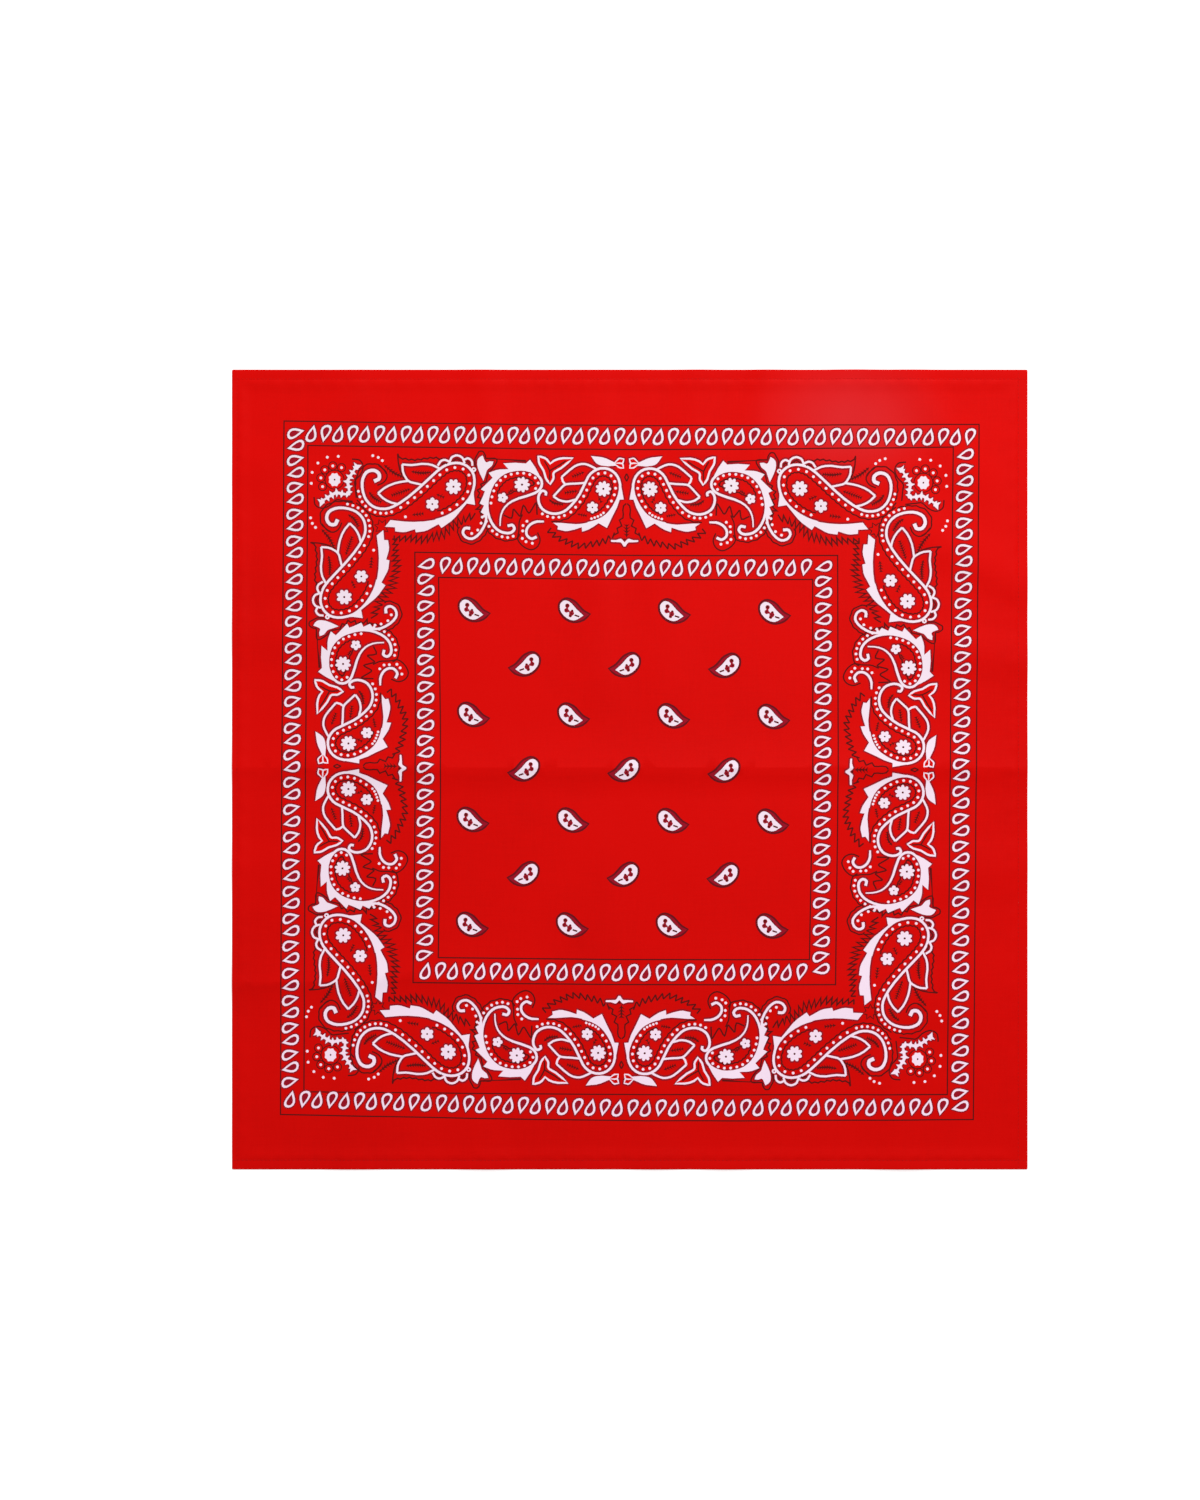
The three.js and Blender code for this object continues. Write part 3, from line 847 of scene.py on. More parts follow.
def fold_rise(fold, x, y):
    """How high one fold lifts the cloth's underside."""
    angle = math.radians(fold["turn"])
    dx, dy = x - fold["x"], y - fold["y"]
    along = np.abs(dx * math.cos(angle) + dy * math.sin(angle)) / (fold["length"] / 2)
    across = dy * math.cos(angle) - dx * math.sin(angle)
    away = np.abs(across) / np.where(across > 0, fold["left"], fold["right"])
    flank = np.clip(1 - away, 0, 1) ** 2 if fold["sharp"] else smooth(1 - away)
    return fold["rise"] * flank * (1 - smooth((along - FADE_FROM) / (1 - FADE_FROM)))


def folds_at(x, y):
    return sum(fold_rise(fold, x, y) for fold in FOLDS)


def insides(x, y):
    """How far a point lies inside each of the four edges: left, right, bottom, top."""
    return np.stack([x + WIDTH / 2, WIDTH / 2 - x, y + LENGTH / 2, LENGTH / 2 - y])


HEMS = np.array([HEM_WIDTH[name] for name in ("left", "right", "bottom", "top")], float)


def hem_lift(x, y):
    """The step up over the turned hems."""
    past = (insides(x, y) - HEMS[:, None]).min(axis=0)
    return HEM_THICK * (1 - smooth(past / HEM_SLOPE))


def stitch_grip(x, y):
    """The dip along the row of stitches, and the small puckers that the thread pulls up beside it."""
    inside = insides(x, y)
    from_row = inside - (HEMS - STITCH_BACK)[:, None]
    nearest = np.abs(from_row).argmin(axis=0)
    away = np.take_along_axis(from_row, nearest[None], 0)[0]
    along = np.where(nearest < 2, y, x)
    inwards = np.clip(away, 0, None)
    pull = 0.5 + 0.5 * np.sin(2 * math.pi * along / PUCKER_PITCH + 1.7 * np.sin(along / 41) + nearest)
    gaps = np.sort(np.abs(from_row), axis=0)
    clear_of_corner = smooth((gaps[1] - gaps[0]) / CORNER_REACH)
    pucker = PUCKER_RISE * pull * smooth(inwards / 2) * (1 - smooth(inwards / PUCKER_REACH)) * clear_of_corner
    return pucker - STITCH_DIP * np.exp(-((away / STITCH_DIP_WIDTH) ** 2))


def unevenness(x, y):
    """The soft unevenness of a washed cloth, a few tenths of a millimetre high."""
    waves = 0
    for wave in WAVES:
        turns = x * wave["across"] + y * wave["up"]
        waves = waves + wave["rise"] * np.sin(2 * math.pi * turns + wave["start"])
    return np.clip(waves, 0, None)


def underside(x, y):
    return folds_at(x, y) + unevenness(x, y) + hem_lift(x, y)


def upper_side(x, y):
    return underside(x, y) + stitch_grip(x, y) + CLOTH_THICK


def facing(surface, x, y):
    """Unit normals of a surface of heights, which point up."""
    step = 0.15
    slope_x = (surface(x + step, y) - surface(x - step, y)) / (2 * step)
    slope_y = (surface(x, y + step) - surface(x, y - step)) / (2 * step)
    normal = np.column_stack([-slope_x, -slope_y, np.ones(len(x))])
    return normal / np.linalg.norm(normal, axis=1, keepdims=True)


def rectangle(insets, step, corner=0.0):
    """Points round a rectangle that lies inside the four edges, anticlockwise from the lower left.
    Rings that differ only in their insets have the same number of points."""
    left, right, bottom, top = insets
    low = np.array([-WIDTH / 2 + left, -LENGTH / 2 + bottom])
    high = np.array([WIDTH / 2 - right, LENGTH / 2 - top])
    corners = np.array([low, (high[0], low[1]), high, (low[0], high[1])])
    inwards = np.array([(1, 1), (-1, 1), (-1, -1), (1, -1)]) * corner
    points = []
    for k in range(4):
        following = (k + 1) % 4
        centre = corners[k] + inwards[k]
        turns = math.pi + k * math.pi / 2 + np.radians([0, 45, 90] if corner else [0])
        points.append(centre + corner * np.column_stack([np.cos(turns), np.sin(turns)]))
        sideways = (1, 0) if k % 2 == 0 else (0, 1)
        start = corners[k] + inwards[k] * sideways
        end = corners[following] + inwards[following] * sideways
        count = round((WIDTH, LENGTH)[k % 2] / step)
        share = (np.arange(1, count) / count)[:, None]
        points.append(start * (1 - share) + end * share)
    return np.vstack(points)


def quiet_places(drawn):
    """Grid places over the cloth, apart from those that a drawn outline already comes close to."""
    cell = GRID_STEP / 3
    size = (math.ceil(WIDTH / cell) + 3, math.ceil(LENGTH / cell) + 3)
    busy = np.zeros(size, bool)
    spots = ((drawn + (WIDTH / 2, LENGTH / 2)) / cell).astype(int) + 1
    busy[spots[:, 0], spots[:, 1]] = True
    near = busy.copy()
    for dx in (-1, 0, 1):
        for dy in (-1, 0, 1):
            near |= np.roll(busy, (dx, dy), (0, 1))
    x = np.arange(-WIDTH / 2 + GRID_MARGIN, WIDTH / 2 - GRID_MARGIN, GRID_STEP)
    y = np.arange(-LENGTH / 2 + GRID_MARGIN, LENGTH / 2 - GRID_MARGIN, GRID_STEP)
    places = np.array(np.meshgrid(x, y)).reshape(2, -1).T
    cells = ((places + (WIDTH / 2, LENGTH / 2)) / cell).astype(int) + 1
    return places[~near[cells[:, 0], cells[:, 1]]]


def mosaic(shapes, inset, rows):
    """The cloth's face as flat triangles that follow every outline of the print.
    It gives the points, the triangles, their inks, and the points of the outer edge in their order."""
    rim = rectangle([inset] * 4, EDGE_STEP, EDGE_CORNER - inset)
    loops = [rim] + [outline for _, outline in shapes]
    for extra in rows:
        loops.append(rectangle(np.maximum(HEMS + extra, LEAST_INSET), EDGE_STEP))
    loose = quiet_places(np.vstack(loops))
    creases = [crease_line(y) for y in CREASE_LINES]
    points, edges, count = [], [], 0
    for loop in loops:
        number = np.arange(len(loop)) + count
        edges.append(np.column_stack([number, np.roll(number, -1)]))
        points.append(loop)
        count += len(loop)
    for crease in creases:
        number = np.arange(len(crease)) + count
        edges.append(np.column_stack([number[:-1], number[1:]]))
        points.append(crease)
        count += len(crease)
    points = np.vstack(points + [loose])
    corners = [Vector(point) for point in points]
    result = delaunay_2d_cdt(corners, np.vstack(edges).tolist(), [], 0, 1e-5, True)
    flat = np.array([tuple(point) for point in result[0]])
    triangles = np.array(result[2])
    place_of = {}
    for new, olds in enumerate(result[3]):
        for old in olds:
            place_of[old] = new
    edge = np.array([place_of[k] for k in range(len(rim))])
    return flat, triangles, inks_of(flat[triangles].mean(axis=1), shapes), edge


def crease_line(y):
    """Points along a pressed crease, clear of the rows at the hems."""
    left, right = HEMS[:2] + CREASE_MARGIN
    ends = np.array([(-WIDTH / 2 + left, y), (WIDTH / 2 - right, y)])
    return stretch_of(ends, 0, 1, GRID_STEP)


def inks_of(centres, shapes):
    """The ink at each centre: that of the last shape drawn over it."""
    inks = np.full(len(centres), RED)
    order = np.argsort(centres[:, 0])
    across = centres[order, 0]
    for ink, outline in shapes:
        first, last = np.searchsorted(across, (outline[:, 0].min(), outline[:, 0].max()))
        group = order[first:last]
        heights = centres[group, 1]
        group = group[(heights > outline[:, 1].min()) & (heights < outline[:, 1].max())]
        if len(group):
            inks[group[winding(centres[group], outline) != 0]] = ink
    return inks


def winding(places, outline):
    """How many times the outline runs round each place."""
    x, y = places[:, :1], places[:, 1:]
    ax, ay = outline[:, 0], outline[:, 1]
    bx, by = np.roll(ax, -1), np.roll(ay, -1)
    side = (bx - ax) * (y - ay) - (x - ax) * (by - ay)
    up = (ay <= y) & (by > y) & (side > 0)
    down = (ay > y) & (by <= y) & (side < 0)
    return up.sum(axis=1) - down.sum(axis=1)


def cloth_mesh():
    """A closed shell: the printed face, the edge rolled down over the hem, and the paler back."""
    face, face_triangles, face_inks, face_edge = mosaic(whole_print(), RIM[0]["inset"], HEM_ROWS)
    back, back_triangles, back_inks, back_edge = mosaic(show_through(), RIM[-1]["inset"], BACK_ROWS)
    layers = [face3d(face)]
    shades = [facing(upper_side, *face.T)]
    rings = [face_edge]
    start = len(face)
    for row in RIM[1:-1]:
        loop = rectangle([row["inset"]] * 4, EDGE_STEP, EDGE_CORNER - row["inset"])
        heights = folds_at(*loop.T) + unevenness(*loop.T) + row["rise"] * EDGE_HEIGHT
        layers.append(np.column_stack([loop, heights]))
        shades.append(rim_facing(loop, row["tilt"]))
        rings.append(np.arange(len(loop)) + start)
        start += len(loop)
    layers.append(np.column_stack([back, underside(*back.T)]))
    shades.append(-facing(underside, *back.T))
    rings.append(back_edge + start)
    faces = [face_triangles, (back_triangles + start)[:, ::-1]]
    inks = [face_inks, back_inks + BACK]
    for outer, inner in zip(rings[:-1], rings[1:]):
        after_outer, after_inner = np.roll(outer, -1), np.roll(inner, -1)
        faces.append(np.column_stack([outer, inner, after_outer]))
        faces.append(np.column_stack([after_outer, inner, after_inner]))
        inks += [np.full(len(outer), RED)] * 2
    return np.vstack(layers), np.vstack(faces), np.concatenate(inks), np.vstack(shades)


def face3d(face):
    return np.column_stack([face, upper_side(*face.T)])


def rim_facing(loop, tilt):
    """Normals of a ring of the rolled edge: tilt 0 looks up, 90 looks out and 180 looks down."""
    ahead = np.roll(loop, -1, axis=0) - np.roll(loop, 1, axis=0)
    ahead = ahead / np.linalg.norm(ahead, axis=1, keepdims=True)
    outward = np.column_stack([ahead[:, 1], -ahead[:, 0]])
    angle = math.radians(tilt)
    return np.column_stack([outward * math.sin(angle), np.full(len(loop), math.cos(angle))])


def show_through():
    """What shows on the back: the print's white and its frame lines, but none of its fine black."""
    shapes = []
    printed = drop_rows(edged=False) + small_paisleys() + rosettes(edged=False) + band(edged=False)
    for ink_used, outline in printed:
        if ink_used not in (BLACK, MAROON, DARK_RED):
            shapes.append((WHITE if ink_used == WHITE else RED, thinned(outline, BACK_TOLERANCE)))
    return frames() + shapes


# Meshes


def add_mesh(name, points, faces, materials, indices=None, normals=None):
    """A named mesh object from points in millimetres."""
    mesh = bpy.data.meshes.new(name)
    mesh.from_pydata((points * MM).tolist(), [], faces.tolist())
    for material in materials:
        mesh.materials.append(material)
    if indices is not None:
        mesh.polygons.foreach_set("material_index", indices.astype(np.int32))
    mesh.polygons.foreach_set("use_smooth", np.ones(len(mesh.polygons), bool))
    if normals is not None:
        mesh.normals_split_custom_set_from_vertices(normals.tolist())
    mesh.update()
    piece = bpy.data.objects.new(name, mesh)
    bpy.context.collection.objects.link(piece)
    return piece


# The flat map: the face takes this share of it each way, and the back what is left, with a margin
UV_FACE = 0.7
UV_MARGIN = 0.01
UV_BACK_START = UV_FACE + 3 * UV_MARGIN
UV_BACK = 1 - UV_BACK_START - UV_MARGIN


def lay_out_uv(piece, back_faces=None):
    """The flat map for the finishes: the face in a large square, the back in a small one."""
    mesh = piece.data
    corners = np.empty(len(mesh.loops), np.int32)
    mesh.loops.foreach_get("vertex_index", corners)
    places = np.empty(len(mesh.vertices) * 3)
    mesh.vertices.foreach_get("co", places)
    flat = places.reshape(-1, 3)[corners, :2] / MM
    share = flat / (WIDTH, LENGTH) + 0.5
    uv = UV_MARGIN + share * UV_FACE
    if back_faces is not None:
        on_back = np.repeat(back_faces, 3)
        uv[on_back] = UV_BACK_START + share[on_back] * UV_BACK
    layer = mesh.uv_layers.new(name="OFBake")
    layer.data.foreach_set("uv", uv.ravel())


def make_cloth():
    points, faces, inks, normals = cloth_mesh()
    materials = [
        printed_red(), white_ink(), ink("black_ink", BLACK_INK), ink("crimson_ink", CRIMSON_INK),
        ink("maroon_ink", MAROON_INK), ink("dark_red_ink", DARK_RED_INK), back_red(),
        ink("white_back", WHITE_BACK), ink("black_back", BLACK_BACK),
    ]
    cloth = add_mesh("cloth", points, faces, materials, inks, normals)
    lay_out_uv(cloth, inks >= BACK)
    return cloth


# The hems

HEM_INSET = 0.5  # its outer end inside the cloth's edge
HEM_ABOVE = 0.04  # its upper side under the cloth's underside
HEM_END = 1.0  # the ends of the top and bottom hems inside the cloth's sides
HEM_APART = 0.2  # between a side hem and the top or bottom one

# Where a place lies that is s along an edge and inward from it
EDGES = {
    "top": lambda s, inward: (s, LENGTH / 2 - inward),
    "bottom": lambda s, inward: (s, inward - LENGTH / 2),
    "left": lambda s, inward: (inward - WIDTH / 2, s),
    "right": lambda s, inward: (WIDTH / 2 - inward, s),
}


def hem_mesh(name, width, run, place):
    """A hem's strip with a rounded outer end and a folded inner edge, carried along the cloth's edge.
    place turns a distance along the edge and a distance in from it into x and y."""
    low, high = HEM_LIFT, HEM_THICK - HEM_ABOVE
    half = (high - low) / 2
    middle = (high + low) / 2
    section = []
    for centre, first in ((HEM_INSET + half, 90), (width - half, -90)):
        for turn in np.radians(np.linspace(first, first + 180, 7)):
            section.append((centre + half * math.cos(turn), middle + half * math.sin(turn)))
    section = np.array(section)
    along = np.linspace(run[0], run[1], round((run[1] - run[0]) / EDGE_STEP) + 1)
    rings = []
    for distance in along:
        x, y = place(np.full(len(section), distance), section[:, 0])
        rings.append(np.column_stack([x, y, folds_at(x, y) + unevenness(x, y) + section[:, 1]]))
    return add_strip(name, rings)


def add_strip(name, rings):
    count, sides = len(rings), len(rings[0])
    ring, side = np.meshgrid(np.arange(count - 1), np.arange(sides), indexing="ij")
    a = (ring * sides + side).ravel()
    b = (ring * sides + (side + 1) % sides).ravel()
    quads = np.column_stack([a, b, b + sides, a + sides])
    ends = [list(range(sides))[::-1], [(count - 1) * sides + k for k in range(sides)]]
    mesh = bpy.data.meshes.new(name)
    mesh.from_pydata((np.vstack(rings) * MM).tolist(), [], quads.tolist() + ends)
    mesh.materials.append(hem_red())
    piece = bpy.data.objects.new(name, mesh)
    bpy.context.collection.objects.link(piece)
    tidy = bmesh.new()
    tidy.from_mesh(mesh)
    bmesh.ops.recalc_face_normals(tidy, faces=tidy.faces)
    for face in tidy.faces:
        face.smooth = len(face.verts) == 4
    tidy.to_mesh(mesh)
    tidy.free()
    lay_out_uv(piece)
    return piece


def hem_run(name):
    """How far a hem reaches along its edge: the side hems lie between the other two."""
    if name in ("top", "bottom"):
        return (-WIDTH / 2 + HEM_END, WIDTH / 2 - HEM_END)
    return (-LENGTH / 2 + HEM_WIDTH["bottom"] + HEM_APART, LENGTH / 2 - HEM_WIDTH["top"] - HEM_APART)


def make_hems():
    return {
        name: hem_mesh(f"{name}_hem", HEM_WIDTH[name], hem_run(name), place) for name, place in EDGES.items()
    }


# The stitches


def hem_underside(x, y):
    """Where the thread lies against a hem's underside."""
    return folds_at(x, y) + unevenness(x, y) + THREAD / 2


def stitch_tree():
    """Geometry nodes that lay a short sewn stitch at every pitch along a path."""
    tree = bpy.data.node_groups.new("hem_stitches", "GeometryNodeTree")
    face = tree.interface
    face.new_socket("Geometry", in_out="INPUT", socket_type="NodeSocketGeometry")
    for name in ("Pitch", "Stitch length", "Thread width"):
        face.new_socket(name, in_out="INPUT", socket_type="NodeSocketFloat")
    face.new_socket("Thread", in_out="INPUT", socket_type="NodeSocketMaterial")
    face.new_socket("Geometry", in_out="OUTPUT", socket_type="NodeSocketGeometry")
    add = tree.nodes.new
    link = tree.links.new
    entry, out = add("NodeGroupInput"), add("NodeGroupOutput")
    curve, points = add("GeometryNodeMeshToCurve"), add("GeometryNodeCurveToPoints")
    points.mode = "LENGTH"
    bead = add("GeometryNodeMeshUVSphere")
    bead.inputs["Segments"].default_value = 6
    bead.inputs["Rings"].default_value = 4
    bead.inputs["Radius"].default_value = 0.5
    uneven = add("FunctionNodeRandomValue")
    uneven.inputs[2].default_value = 0.86
    uneven.inputs[3].default_value = 1.06
    uneven.inputs["Seed"].default_value = 7
    length, size = add("ShaderNodeMath"), add("ShaderNodeCombineXYZ")
    length.operation = "MULTIPLY"
    place, real = add("GeometryNodeInstanceOnPoints"), add("GeometryNodeRealizeInstances")
    smooth_faces, paint = add("GeometryNodeSetShadeSmooth"), add("GeometryNodeSetMaterial")
    link(entry.outputs["Geometry"], curve.inputs["Mesh"])
    link(curve.outputs["Curve"], points.inputs["Curve"])
    link(entry.outputs["Pitch"], points.inputs["Length"])
    link(points.outputs["Points"], place.inputs["Points"])
    link(points.outputs["Rotation"], place.inputs["Rotation"])
    link(bead.outputs["Mesh"], place.inputs["Instance"])
    link(entry.outputs["Stitch length"], length.inputs[0])
    link(uneven.outputs[1], length.inputs[1])
    link(entry.outputs["Thread width"], size.inputs["X"])
    link(entry.outputs["Thread width"], size.inputs["Y"])
    link(length.outputs[0], size.inputs["Z"])
    link(size.outputs["Vector"], place.inputs["Scale"])
    link(place.outputs["Instances"], real.inputs["Geometry"])
    link(real.outputs["Geometry"], smooth_faces.inputs["Geometry"])
    link(smooth_faces.outputs["Geometry"], paint.inputs["Geometry"])
    link(entry.outputs["Thread"], paint.inputs["Material"])
    link(paint.outputs["Geometry"], out.inputs["Geometry"])
    return tree


def make_stitches(name, surface, lift):
    """The four rows of stitches on one side of the cloth, as one plain mesh."""
    points, edges = [], []
    for side, place in EDGES.items():
        reach = (WIDTH if side in ("top", "bottom") else LENGTH) / 2 - STITCH_END
        along = np.arange(-reach, reach, STITCH_PITCH / 2)
        x, y = place(along, np.full(len(along), HEM_WIDTH[side] - STITCH_BACK))
        first = len(points)
        points += np.column_stack([x, y, surface(x, y) + lift]).tolist()
        edges += [(first + k, first + k + 1) for k in range(len(along) - 1)]
    mesh = bpy.data.meshes.new(name + "_path")
    mesh.from_pydata((np.array(points) * MM).tolist(), edges, [])
    path = bpy.data.objects.new(name + "_path", mesh)
    bpy.context.collection.objects.link(path)
    tree = bpy.data.node_groups.get("hem_stitches") or stitch_tree()
    sewing = path.modifiers.new("sewing", "NODES")
    sewing.node_group = tree
    values = {
        "Pitch": STITCH_PITCH * MM, "Stitch length": STITCH_LENGTH * MM, "Thread width": THREAD * MM,
        "Thread": red_thread(),
    }
    for item in tree.interface.items_tree:
        if item.in_out == "INPUT" and item.name in values:
            sewing[item.identifier] = values[item.name]
    view = bpy.context.evaluated_depsgraph_get()
    sewn = bpy.data.meshes.new_from_object(path.evaluated_get(view))
    sewn.name = name
    bpy.data.objects.remove(path)
    piece = bpy.data.objects.new(name, sewn)
    bpy.context.collection.objects.link(piece)
    return piece


# Materials. Colours are linear, and each finish has the cotton's weave as bump.

RED_COTTON = (0.495, 0.0014, 0.0007)
RED_BACK = (0.41, 0.004, 0.003)
WHITE_INK = (0.642, 0.552, 0.61)
# Painted light: the white ink's colour at the bottom edge, paler than at the top to make up for the lamps'
# light falling off there
WHITE_INK_PAINTED_BRIGHTER_BELOW = (0.756, 0.603, 0.714)  # towards the bottom edge
PAINTED_BRIGHTENING_REACH = 0.2  # from the middle up and down, over which the one becomes the other
BLACK_INK = (0.085, 0.002, 0.002)
CRIMSON_INK = (0.245, 0.002, 0.012)
MAROON_INK = (0.11, 0.002, 0.005)
DARK_RED_INK = (0.25, 0.002, 0.007)
WHITE_BACK = (0.60, 0.13, 0.12)
BLACK_BACK = (0.20, 0.004, 0.004)
THREAD_RED = (0.45, 0.003, 0.002)
WEAVE_PITCH = 0.42
WEAVE_DEPTH = 0.05
THREAD_GRAIN = 900  # how fine the threads' unevenness is across a thread, and along it
SLUB_GRAIN = 70
RIDGE_SHARE = 0.5  # the crossing ridges' part of the relief
THREAD_SHARE = 0.35  # the threads' part of the colour's drift
# Painted highlight: the paler, pinker red that the face's colour turns to round one place near the top right
PAINTED_HIGHLIGHT_RED = (0.50, 0.0125, 0.0145)
PAINTED_HIGHLIGHT_AT = (0.152, 0.242, 0.0)  # the middle of the painted highlight, near the top right
PAINTED_HIGHLIGHT_REACH = (0.082, 0.054, 1.0)  # how far it goes each way


def material(name):
    made = bpy.data.materials.new(name)
    made.use_nodes = True
    nodes = made.node_tree.nodes
    return made, nodes, made.node_tree.links, nodes["Principled BSDF"]


def worked_out(nodes, links, operation, *inputs):
    """The result of a math node, whose inputs are other nodes' outputs or plain numbers."""
    made = nodes.new("ShaderNodeMath")
    made.operation = operation
    for slot, value in zip(made.inputs, inputs):
        if isinstance(value, bpy.types.NodeSocket):
            links.new(value, slot)
        else:
            slot.default_value = value
    return made.outputs[0]


def weave(nodes, links, shader, strength):
    """A plain weave as bump: warp and weft ridges that cross, with thick and thin threads."""
    place = nodes.new("ShaderNodeTexCoord")
    split = nodes.new("ShaderNodeSeparateXYZ")
    links.new(place.outputs["Object"], split.inputs[0])
    ridges = []
    for axis in ("X", "Y"):
        turn = worked_out(nodes, links, "MULTIPLY", split.outputs[axis], 2 * math.pi / (WEAVE_PITCH * MM))
        ridges.append(worked_out(nodes, links, "SINE", turn))
    cross = worked_out(nodes, links, "MULTIPLY", *ridges)
    warp = threads(nodes, links, place, (THREAD_GRAIN, SLUB_GRAIN, THREAD_GRAIN))
    weft = threads(nodes, links, place, (SLUB_GRAIN, THREAD_GRAIN, THREAD_GRAIN))
    both = worked_out(nodes, links, "ADD", warp.outputs[0], weft.outputs[0])
    height = worked_out(nodes, links, "MULTIPLY_ADD", cross, RIDGE_SHARE, both)
    bump = nodes.new("ShaderNodeBump")
    bump.inputs["Strength"].default_value = strength
    bump.inputs["Distance"].default_value = WEAVE_DEPTH * MM
    links.new(height, bump.inputs["Height"])
    links.new(bump.outputs["Normal"], shader.inputs["Normal"])
    return both


def threads(nodes, links, place, scale):
    """Noise drawn out along the threads."""
    mapping = nodes.new("ShaderNodeMapping")
    mapping.inputs["Scale"].default_value = scale
    links.new(place.outputs["Object"], mapping.inputs["Vector"])
    noise = nodes.new("ShaderNodeTexNoise")
    noise.inputs["Scale"].default_value = 1.0
    noise.inputs["Detail"].default_value = 2.0
    links.new(mapping.outputs["Vector"], noise.inputs["Vector"])
    return noise


def cotton(name, colour, pale, deep, strength=0.35, highlight_painted=False):
    """Dyed cotton: its colour drifts a little across the cloth, and from thread to thread."""
    made, nodes, links, shader = material(name)
    both = weave(nodes, links, shader, strength)
    place = nodes.new("ShaderNodeTexCoord")
    drift = nodes.new("ShaderNodeTexNoise")
    drift.inputs["Scale"].default_value = 9.0
    drift.inputs["Detail"].default_value = 3.0
    links.new(place.outputs["Object"], drift.inputs["Vector"])
    mixed = worked_out(nodes, links, "MULTIPLY_ADD", both, THREAD_SHARE, -THREAD_SHARE / 2)
    total = worked_out(nodes, links, "ADD", drift.outputs[0], mixed)
    ramp = nodes.new("ShaderNodeValToRGB")
    ramp.color_ramp.elements[0].position = 0.3
    ramp.color_ramp.elements[1].position = 0.75
    ramp.color_ramp.elements[0].color = (*[c * deep for c in colour], 1)
    ramp.color_ramp.elements[1].color = (*[c * pale for c in colour], 1)
    links.new(total, ramp.inputs["Fac"])
    cloth_colour = ramp.outputs["Color"]
    # A painted highlight: the colour made paler and pinker round one place near the top right
    if highlight_painted:
        cloth_colour = paint_highlight(nodes, links, place, cloth_colour)
    links.new(cloth_colour, shader.inputs["Base Color"])
    finish_cloth(shader)
    return made


def paint_highlight(nodes, links, place, cloth_colour):
    """The cloth's colour with a painted highlight: paler and pinker round one place."""
    about = nodes.new("ShaderNodeVectorMath")
    about.operation = "SUBTRACT"
    about.inputs[1].default_value = PAINTED_HIGHLIGHT_AT
    links.new(place.outputs["Object"], about.inputs[0])
    scaled = nodes.new("ShaderNodeVectorMath")
    scaled.operation = "DIVIDE"
    scaled.inputs[1].default_value = PAINTED_HIGHLIGHT_REACH
    links.new(about.outputs["Vector"], scaled.inputs[0])
    away = nodes.new("ShaderNodeVectorMath")
    away.operation = "LENGTH"
    links.new(scaled.outputs["Vector"], away.inputs[0])
    share = nodes.new("ShaderNodeMapRange")
    share.interpolation_type = "SMOOTHSTEP"
    share.inputs["To Min"].default_value = 1.0
    share.inputs["To Max"].default_value = 0.0
    links.new(away.outputs["Value"], share.inputs["Value"])
    mixed = nodes.new("ShaderNodeMixRGB")
    mixed.inputs["Color2"].default_value = (*PAINTED_HIGHLIGHT_RED, 1)
    links.new(share.outputs["Result"], mixed.inputs["Fac"])
    links.new(cloth_colour, mixed.inputs["Color1"])
    return mixed.outputs["Color"]


def finish_cloth(shader):
    shader.inputs["Roughness"].default_value = 0.42
    shader.inputs["Specular IOR Level"].default_value = 0.025
    shader.inputs["Sheen Weight"].default_value = 0.03
    shader.inputs["Sheen Roughness"].default_value = 0.5
    shader.inputs["Sheen Tint"].default_value = (1.0, 0.15, 0.12, 1)


def printed_red():
    # The face's red carries a painted highlight near the top right
    return cotton("printed_red_cotton", RED_COTTON, 1.06, 0.95, highlight_painted=True)


def back_red():
    return cotton("red_cotton_back", RED_BACK, 1.1, 0.92)


def hem_red():
    return bpy.data.materials.get("hem_red_cotton") or cotton("hem_red_cotton", RED_BACK, 1.08, 0.94)


def ink(name, colour):
    """Printing ink in the weave: flat in colour, with the threads' relief and a drier gloss."""
    made, nodes, links, shader = material(name)
    weave(nodes, links, shader, 0.3)
    shader.inputs["Base Color"].default_value = (*colour, 1)
    shader.inputs["Roughness"].default_value = 0.8
    shader.inputs["Specular IOR Level"].default_value = 0.1
    return made


def white_ink():
    """The white ink, with painted light: made paler towards the bottom edge, where less lamp light falls, so
    that it stays as bright there as at the top.
    """
    made = ink("white_ink", WHITE_INK)
    nodes, links = made.node_tree.nodes, made.node_tree.links
    place = nodes.new("ShaderNodeTexCoord")
    split = nodes.new("ShaderNodeSeparateXYZ")
    links.new(place.outputs["Object"], split.inputs[0])
    upwards = nodes.new("ShaderNodeMapRange")
    upwards.inputs["From Min"].default_value = -PAINTED_BRIGHTENING_REACH
    upwards.inputs["From Max"].default_value = PAINTED_BRIGHTENING_REACH
    links.new(split.outputs["Y"], upwards.inputs["Value"])
    # Painted light: the white turns paler towards the bottom edge, where less lamp light falls
    mixed = nodes.new("ShaderNodeMixRGB")
    mixed.inputs["Color1"].default_value = (*WHITE_INK_PAINTED_BRIGHTER_BELOW, 1)
    mixed.inputs["Color2"].default_value = (*WHITE_INK, 1)
    links.new(upwards.outputs["Result"], mixed.inputs["Fac"])
    links.new(mixed.outputs["Color"], nodes["Principled BSDF"].inputs["Base Color"])
    return made


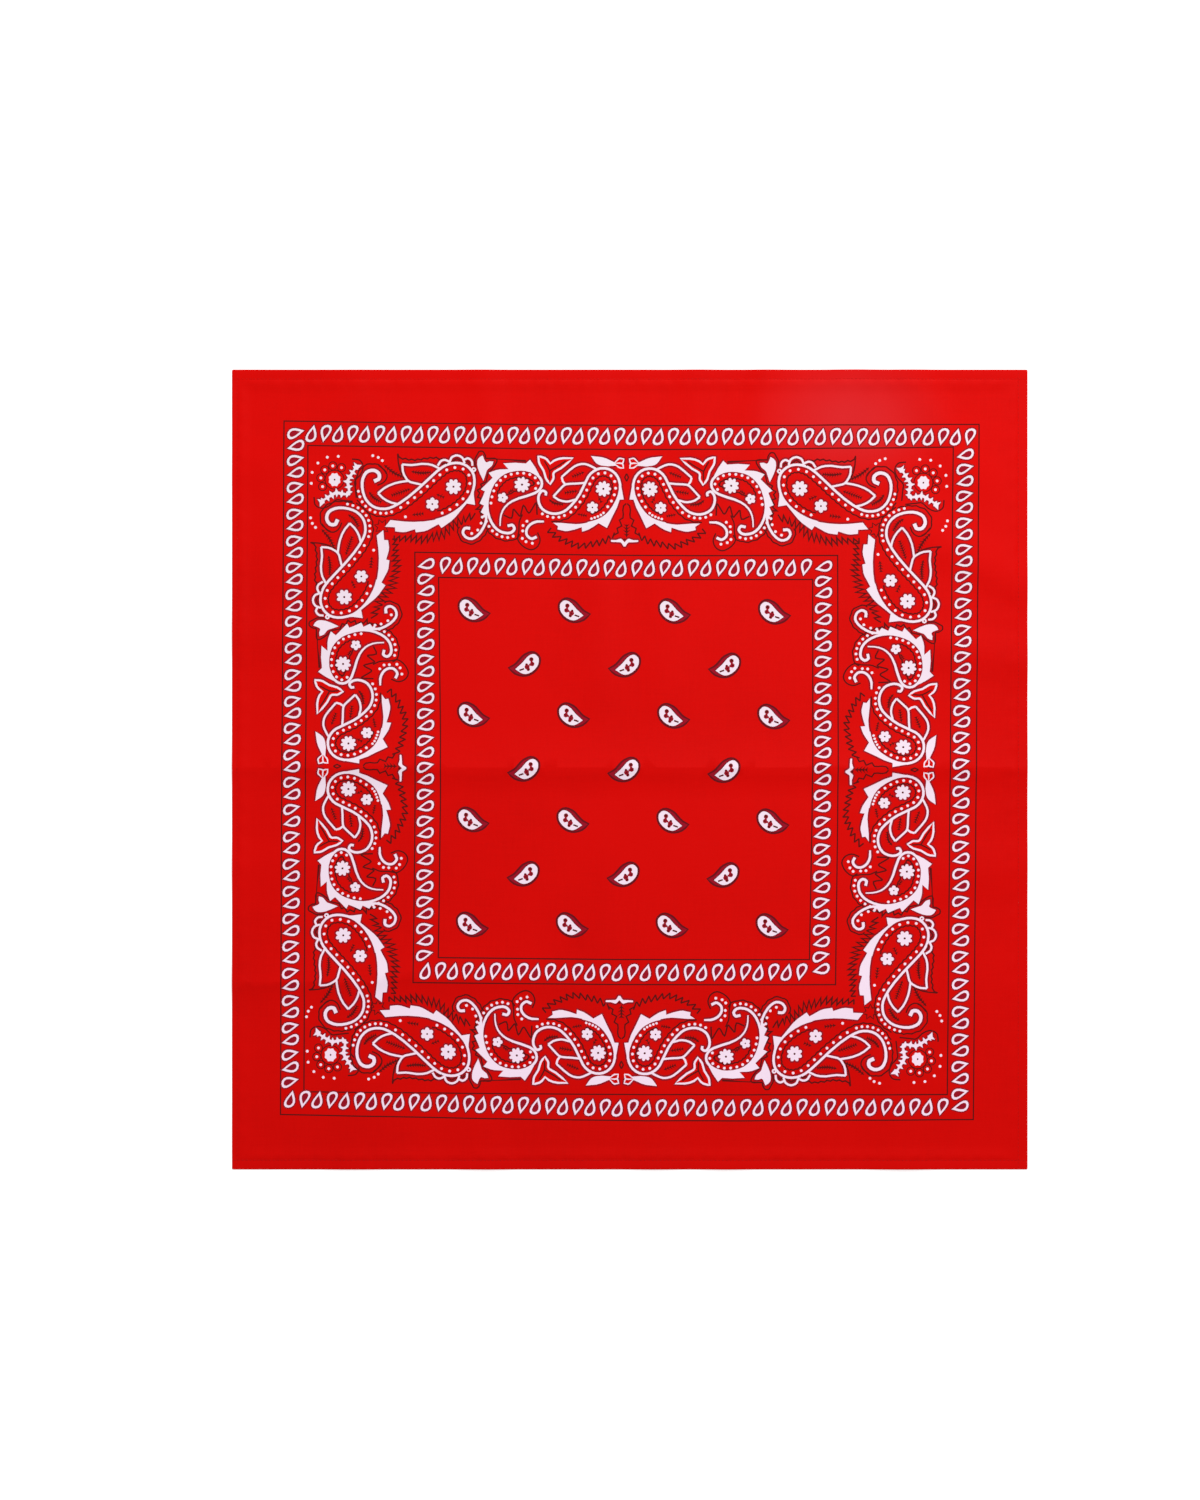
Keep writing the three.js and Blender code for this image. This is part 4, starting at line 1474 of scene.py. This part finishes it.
def red_thread():
    name = "red_sewing_thread"
    if name in bpy.data.materials:
        return bpy.data.materials[name]
    made, nodes, links, shader = material(name)
    twist = nodes.new("ShaderNodeTexWave")
    twist.bands_direction = "DIAGONAL"
    twist.inputs["Scale"].default_value = 900.0
    place = nodes.new("ShaderNodeTexCoord")
    links.new(place.outputs["Object"], twist.inputs["Vector"])
    bump = nodes.new("ShaderNodeBump")
    bump.inputs["Distance"].default_value = WEAVE_DEPTH * MM
    links.new(twist.outputs["Fac"], bump.inputs["Height"])
    links.new(bump.outputs["Normal"], shader.inputs["Normal"])
    shader.inputs["Base Color"].default_value = (*THREAD_RED, 1)
    shader.inputs["Roughness"].default_value = 0.6
    shader.inputs["Specular IOR Level"].default_value = 0.1
    return made


# The studio

FLOOR_SIZE = 6.0
FLOOR_COLOUR = (0.6, 0.6, 0.6)
FLOOR_GLOW = 0.55
SKY = 0.65
LAMPS = (
    dict(name="key", place=(0.42, 1.5, 1.3), power=34.0, size=0.9),
    dict(name="overhead", place=(0.287, 0.398, 1.45), power=4.0, size=0.22),
)
CAMERA_MIDDLE = (-0.0206, 0.0135)
CAMERA_HEIGHT = 2.449
CAMERA_LENS = 85.0
CAMERA_SENSOR = 36.0


def make_floor():
    half = FLOOR_SIZE / 2
    mesh = bpy.data.meshes.new("floor")
    corners = [(-half, -half, 0), (half, -half, 0), (half, half, 0), (-half, half, 0)]
    mesh.from_pydata(corners, [], [(0, 1, 2, 3)])
    made, nodes, links, shader = material("pale_floor")
    shader.inputs["Base Color"].default_value = (*FLOOR_COLOUR, 1)
    shader.inputs["Roughness"].default_value = 0.9
    shader.inputs["Specular IOR Level"].default_value = 0.1
    shader.inputs["Emission Color"].default_value = (1, 1, 1, 1)
    shader.inputs["Emission Strength"].default_value = FLOOR_GLOW
    mesh.materials.append(made)
    floor = bpy.data.objects.new("floor", mesh)
    bpy.context.collection.objects.link(floor)


def make_light():
    world = bpy.data.worlds.new("studio")
    world.use_nodes = True
    sky = world.node_tree.nodes["Background"]
    sky.inputs["Color"].default_value = (1, 1, 1, 1)
    sky.inputs["Strength"].default_value = SKY
    bpy.context.scene.world = world
    for lamp in LAMPS:
        light = bpy.data.lights.new(lamp["name"], "AREA")
        light.energy = lamp["power"]
        light.size = lamp["size"]
        stand = bpy.data.objects.new(lamp["name"], light)
        stand.location = lamp["place"]
        stand.rotation_euler = (-Vector(lamp["place"])).to_track_quat("-Z", "Y").to_euler()
        bpy.context.collection.objects.link(stand)


def make_camera():
    lens = bpy.data.cameras.new("camera")
    lens.lens = CAMERA_LENS
    lens.sensor_width = CAMERA_SENSOR
    camera = bpy.data.objects.new("camera", lens)
    camera.location = (*CAMERA_MIDDLE, CAMERA_HEIGHT)
    bpy.context.collection.objects.link(camera)
    bpy.context.scene.camera = camera


def main():
    make_camera()
    make_light()
    make_floor()
    bpy.context.scene.view_settings.view_transform = "Standard"
    cloth = make_cloth()
    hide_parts("cloth_panel")
    hems = make_hems()
    for name, hem in hems.items():
        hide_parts(f"hem_{name}")
    stitches = [
        make_stitches("face_stitches", upper_side, FACE_LIFT),
        make_stitches("back_stitches", hem_underside, 0.0),
    ]
    pieces = [cloth, *hems.values(), *stitches]
    for piece in pieces:
        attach(piece, "root")


main()
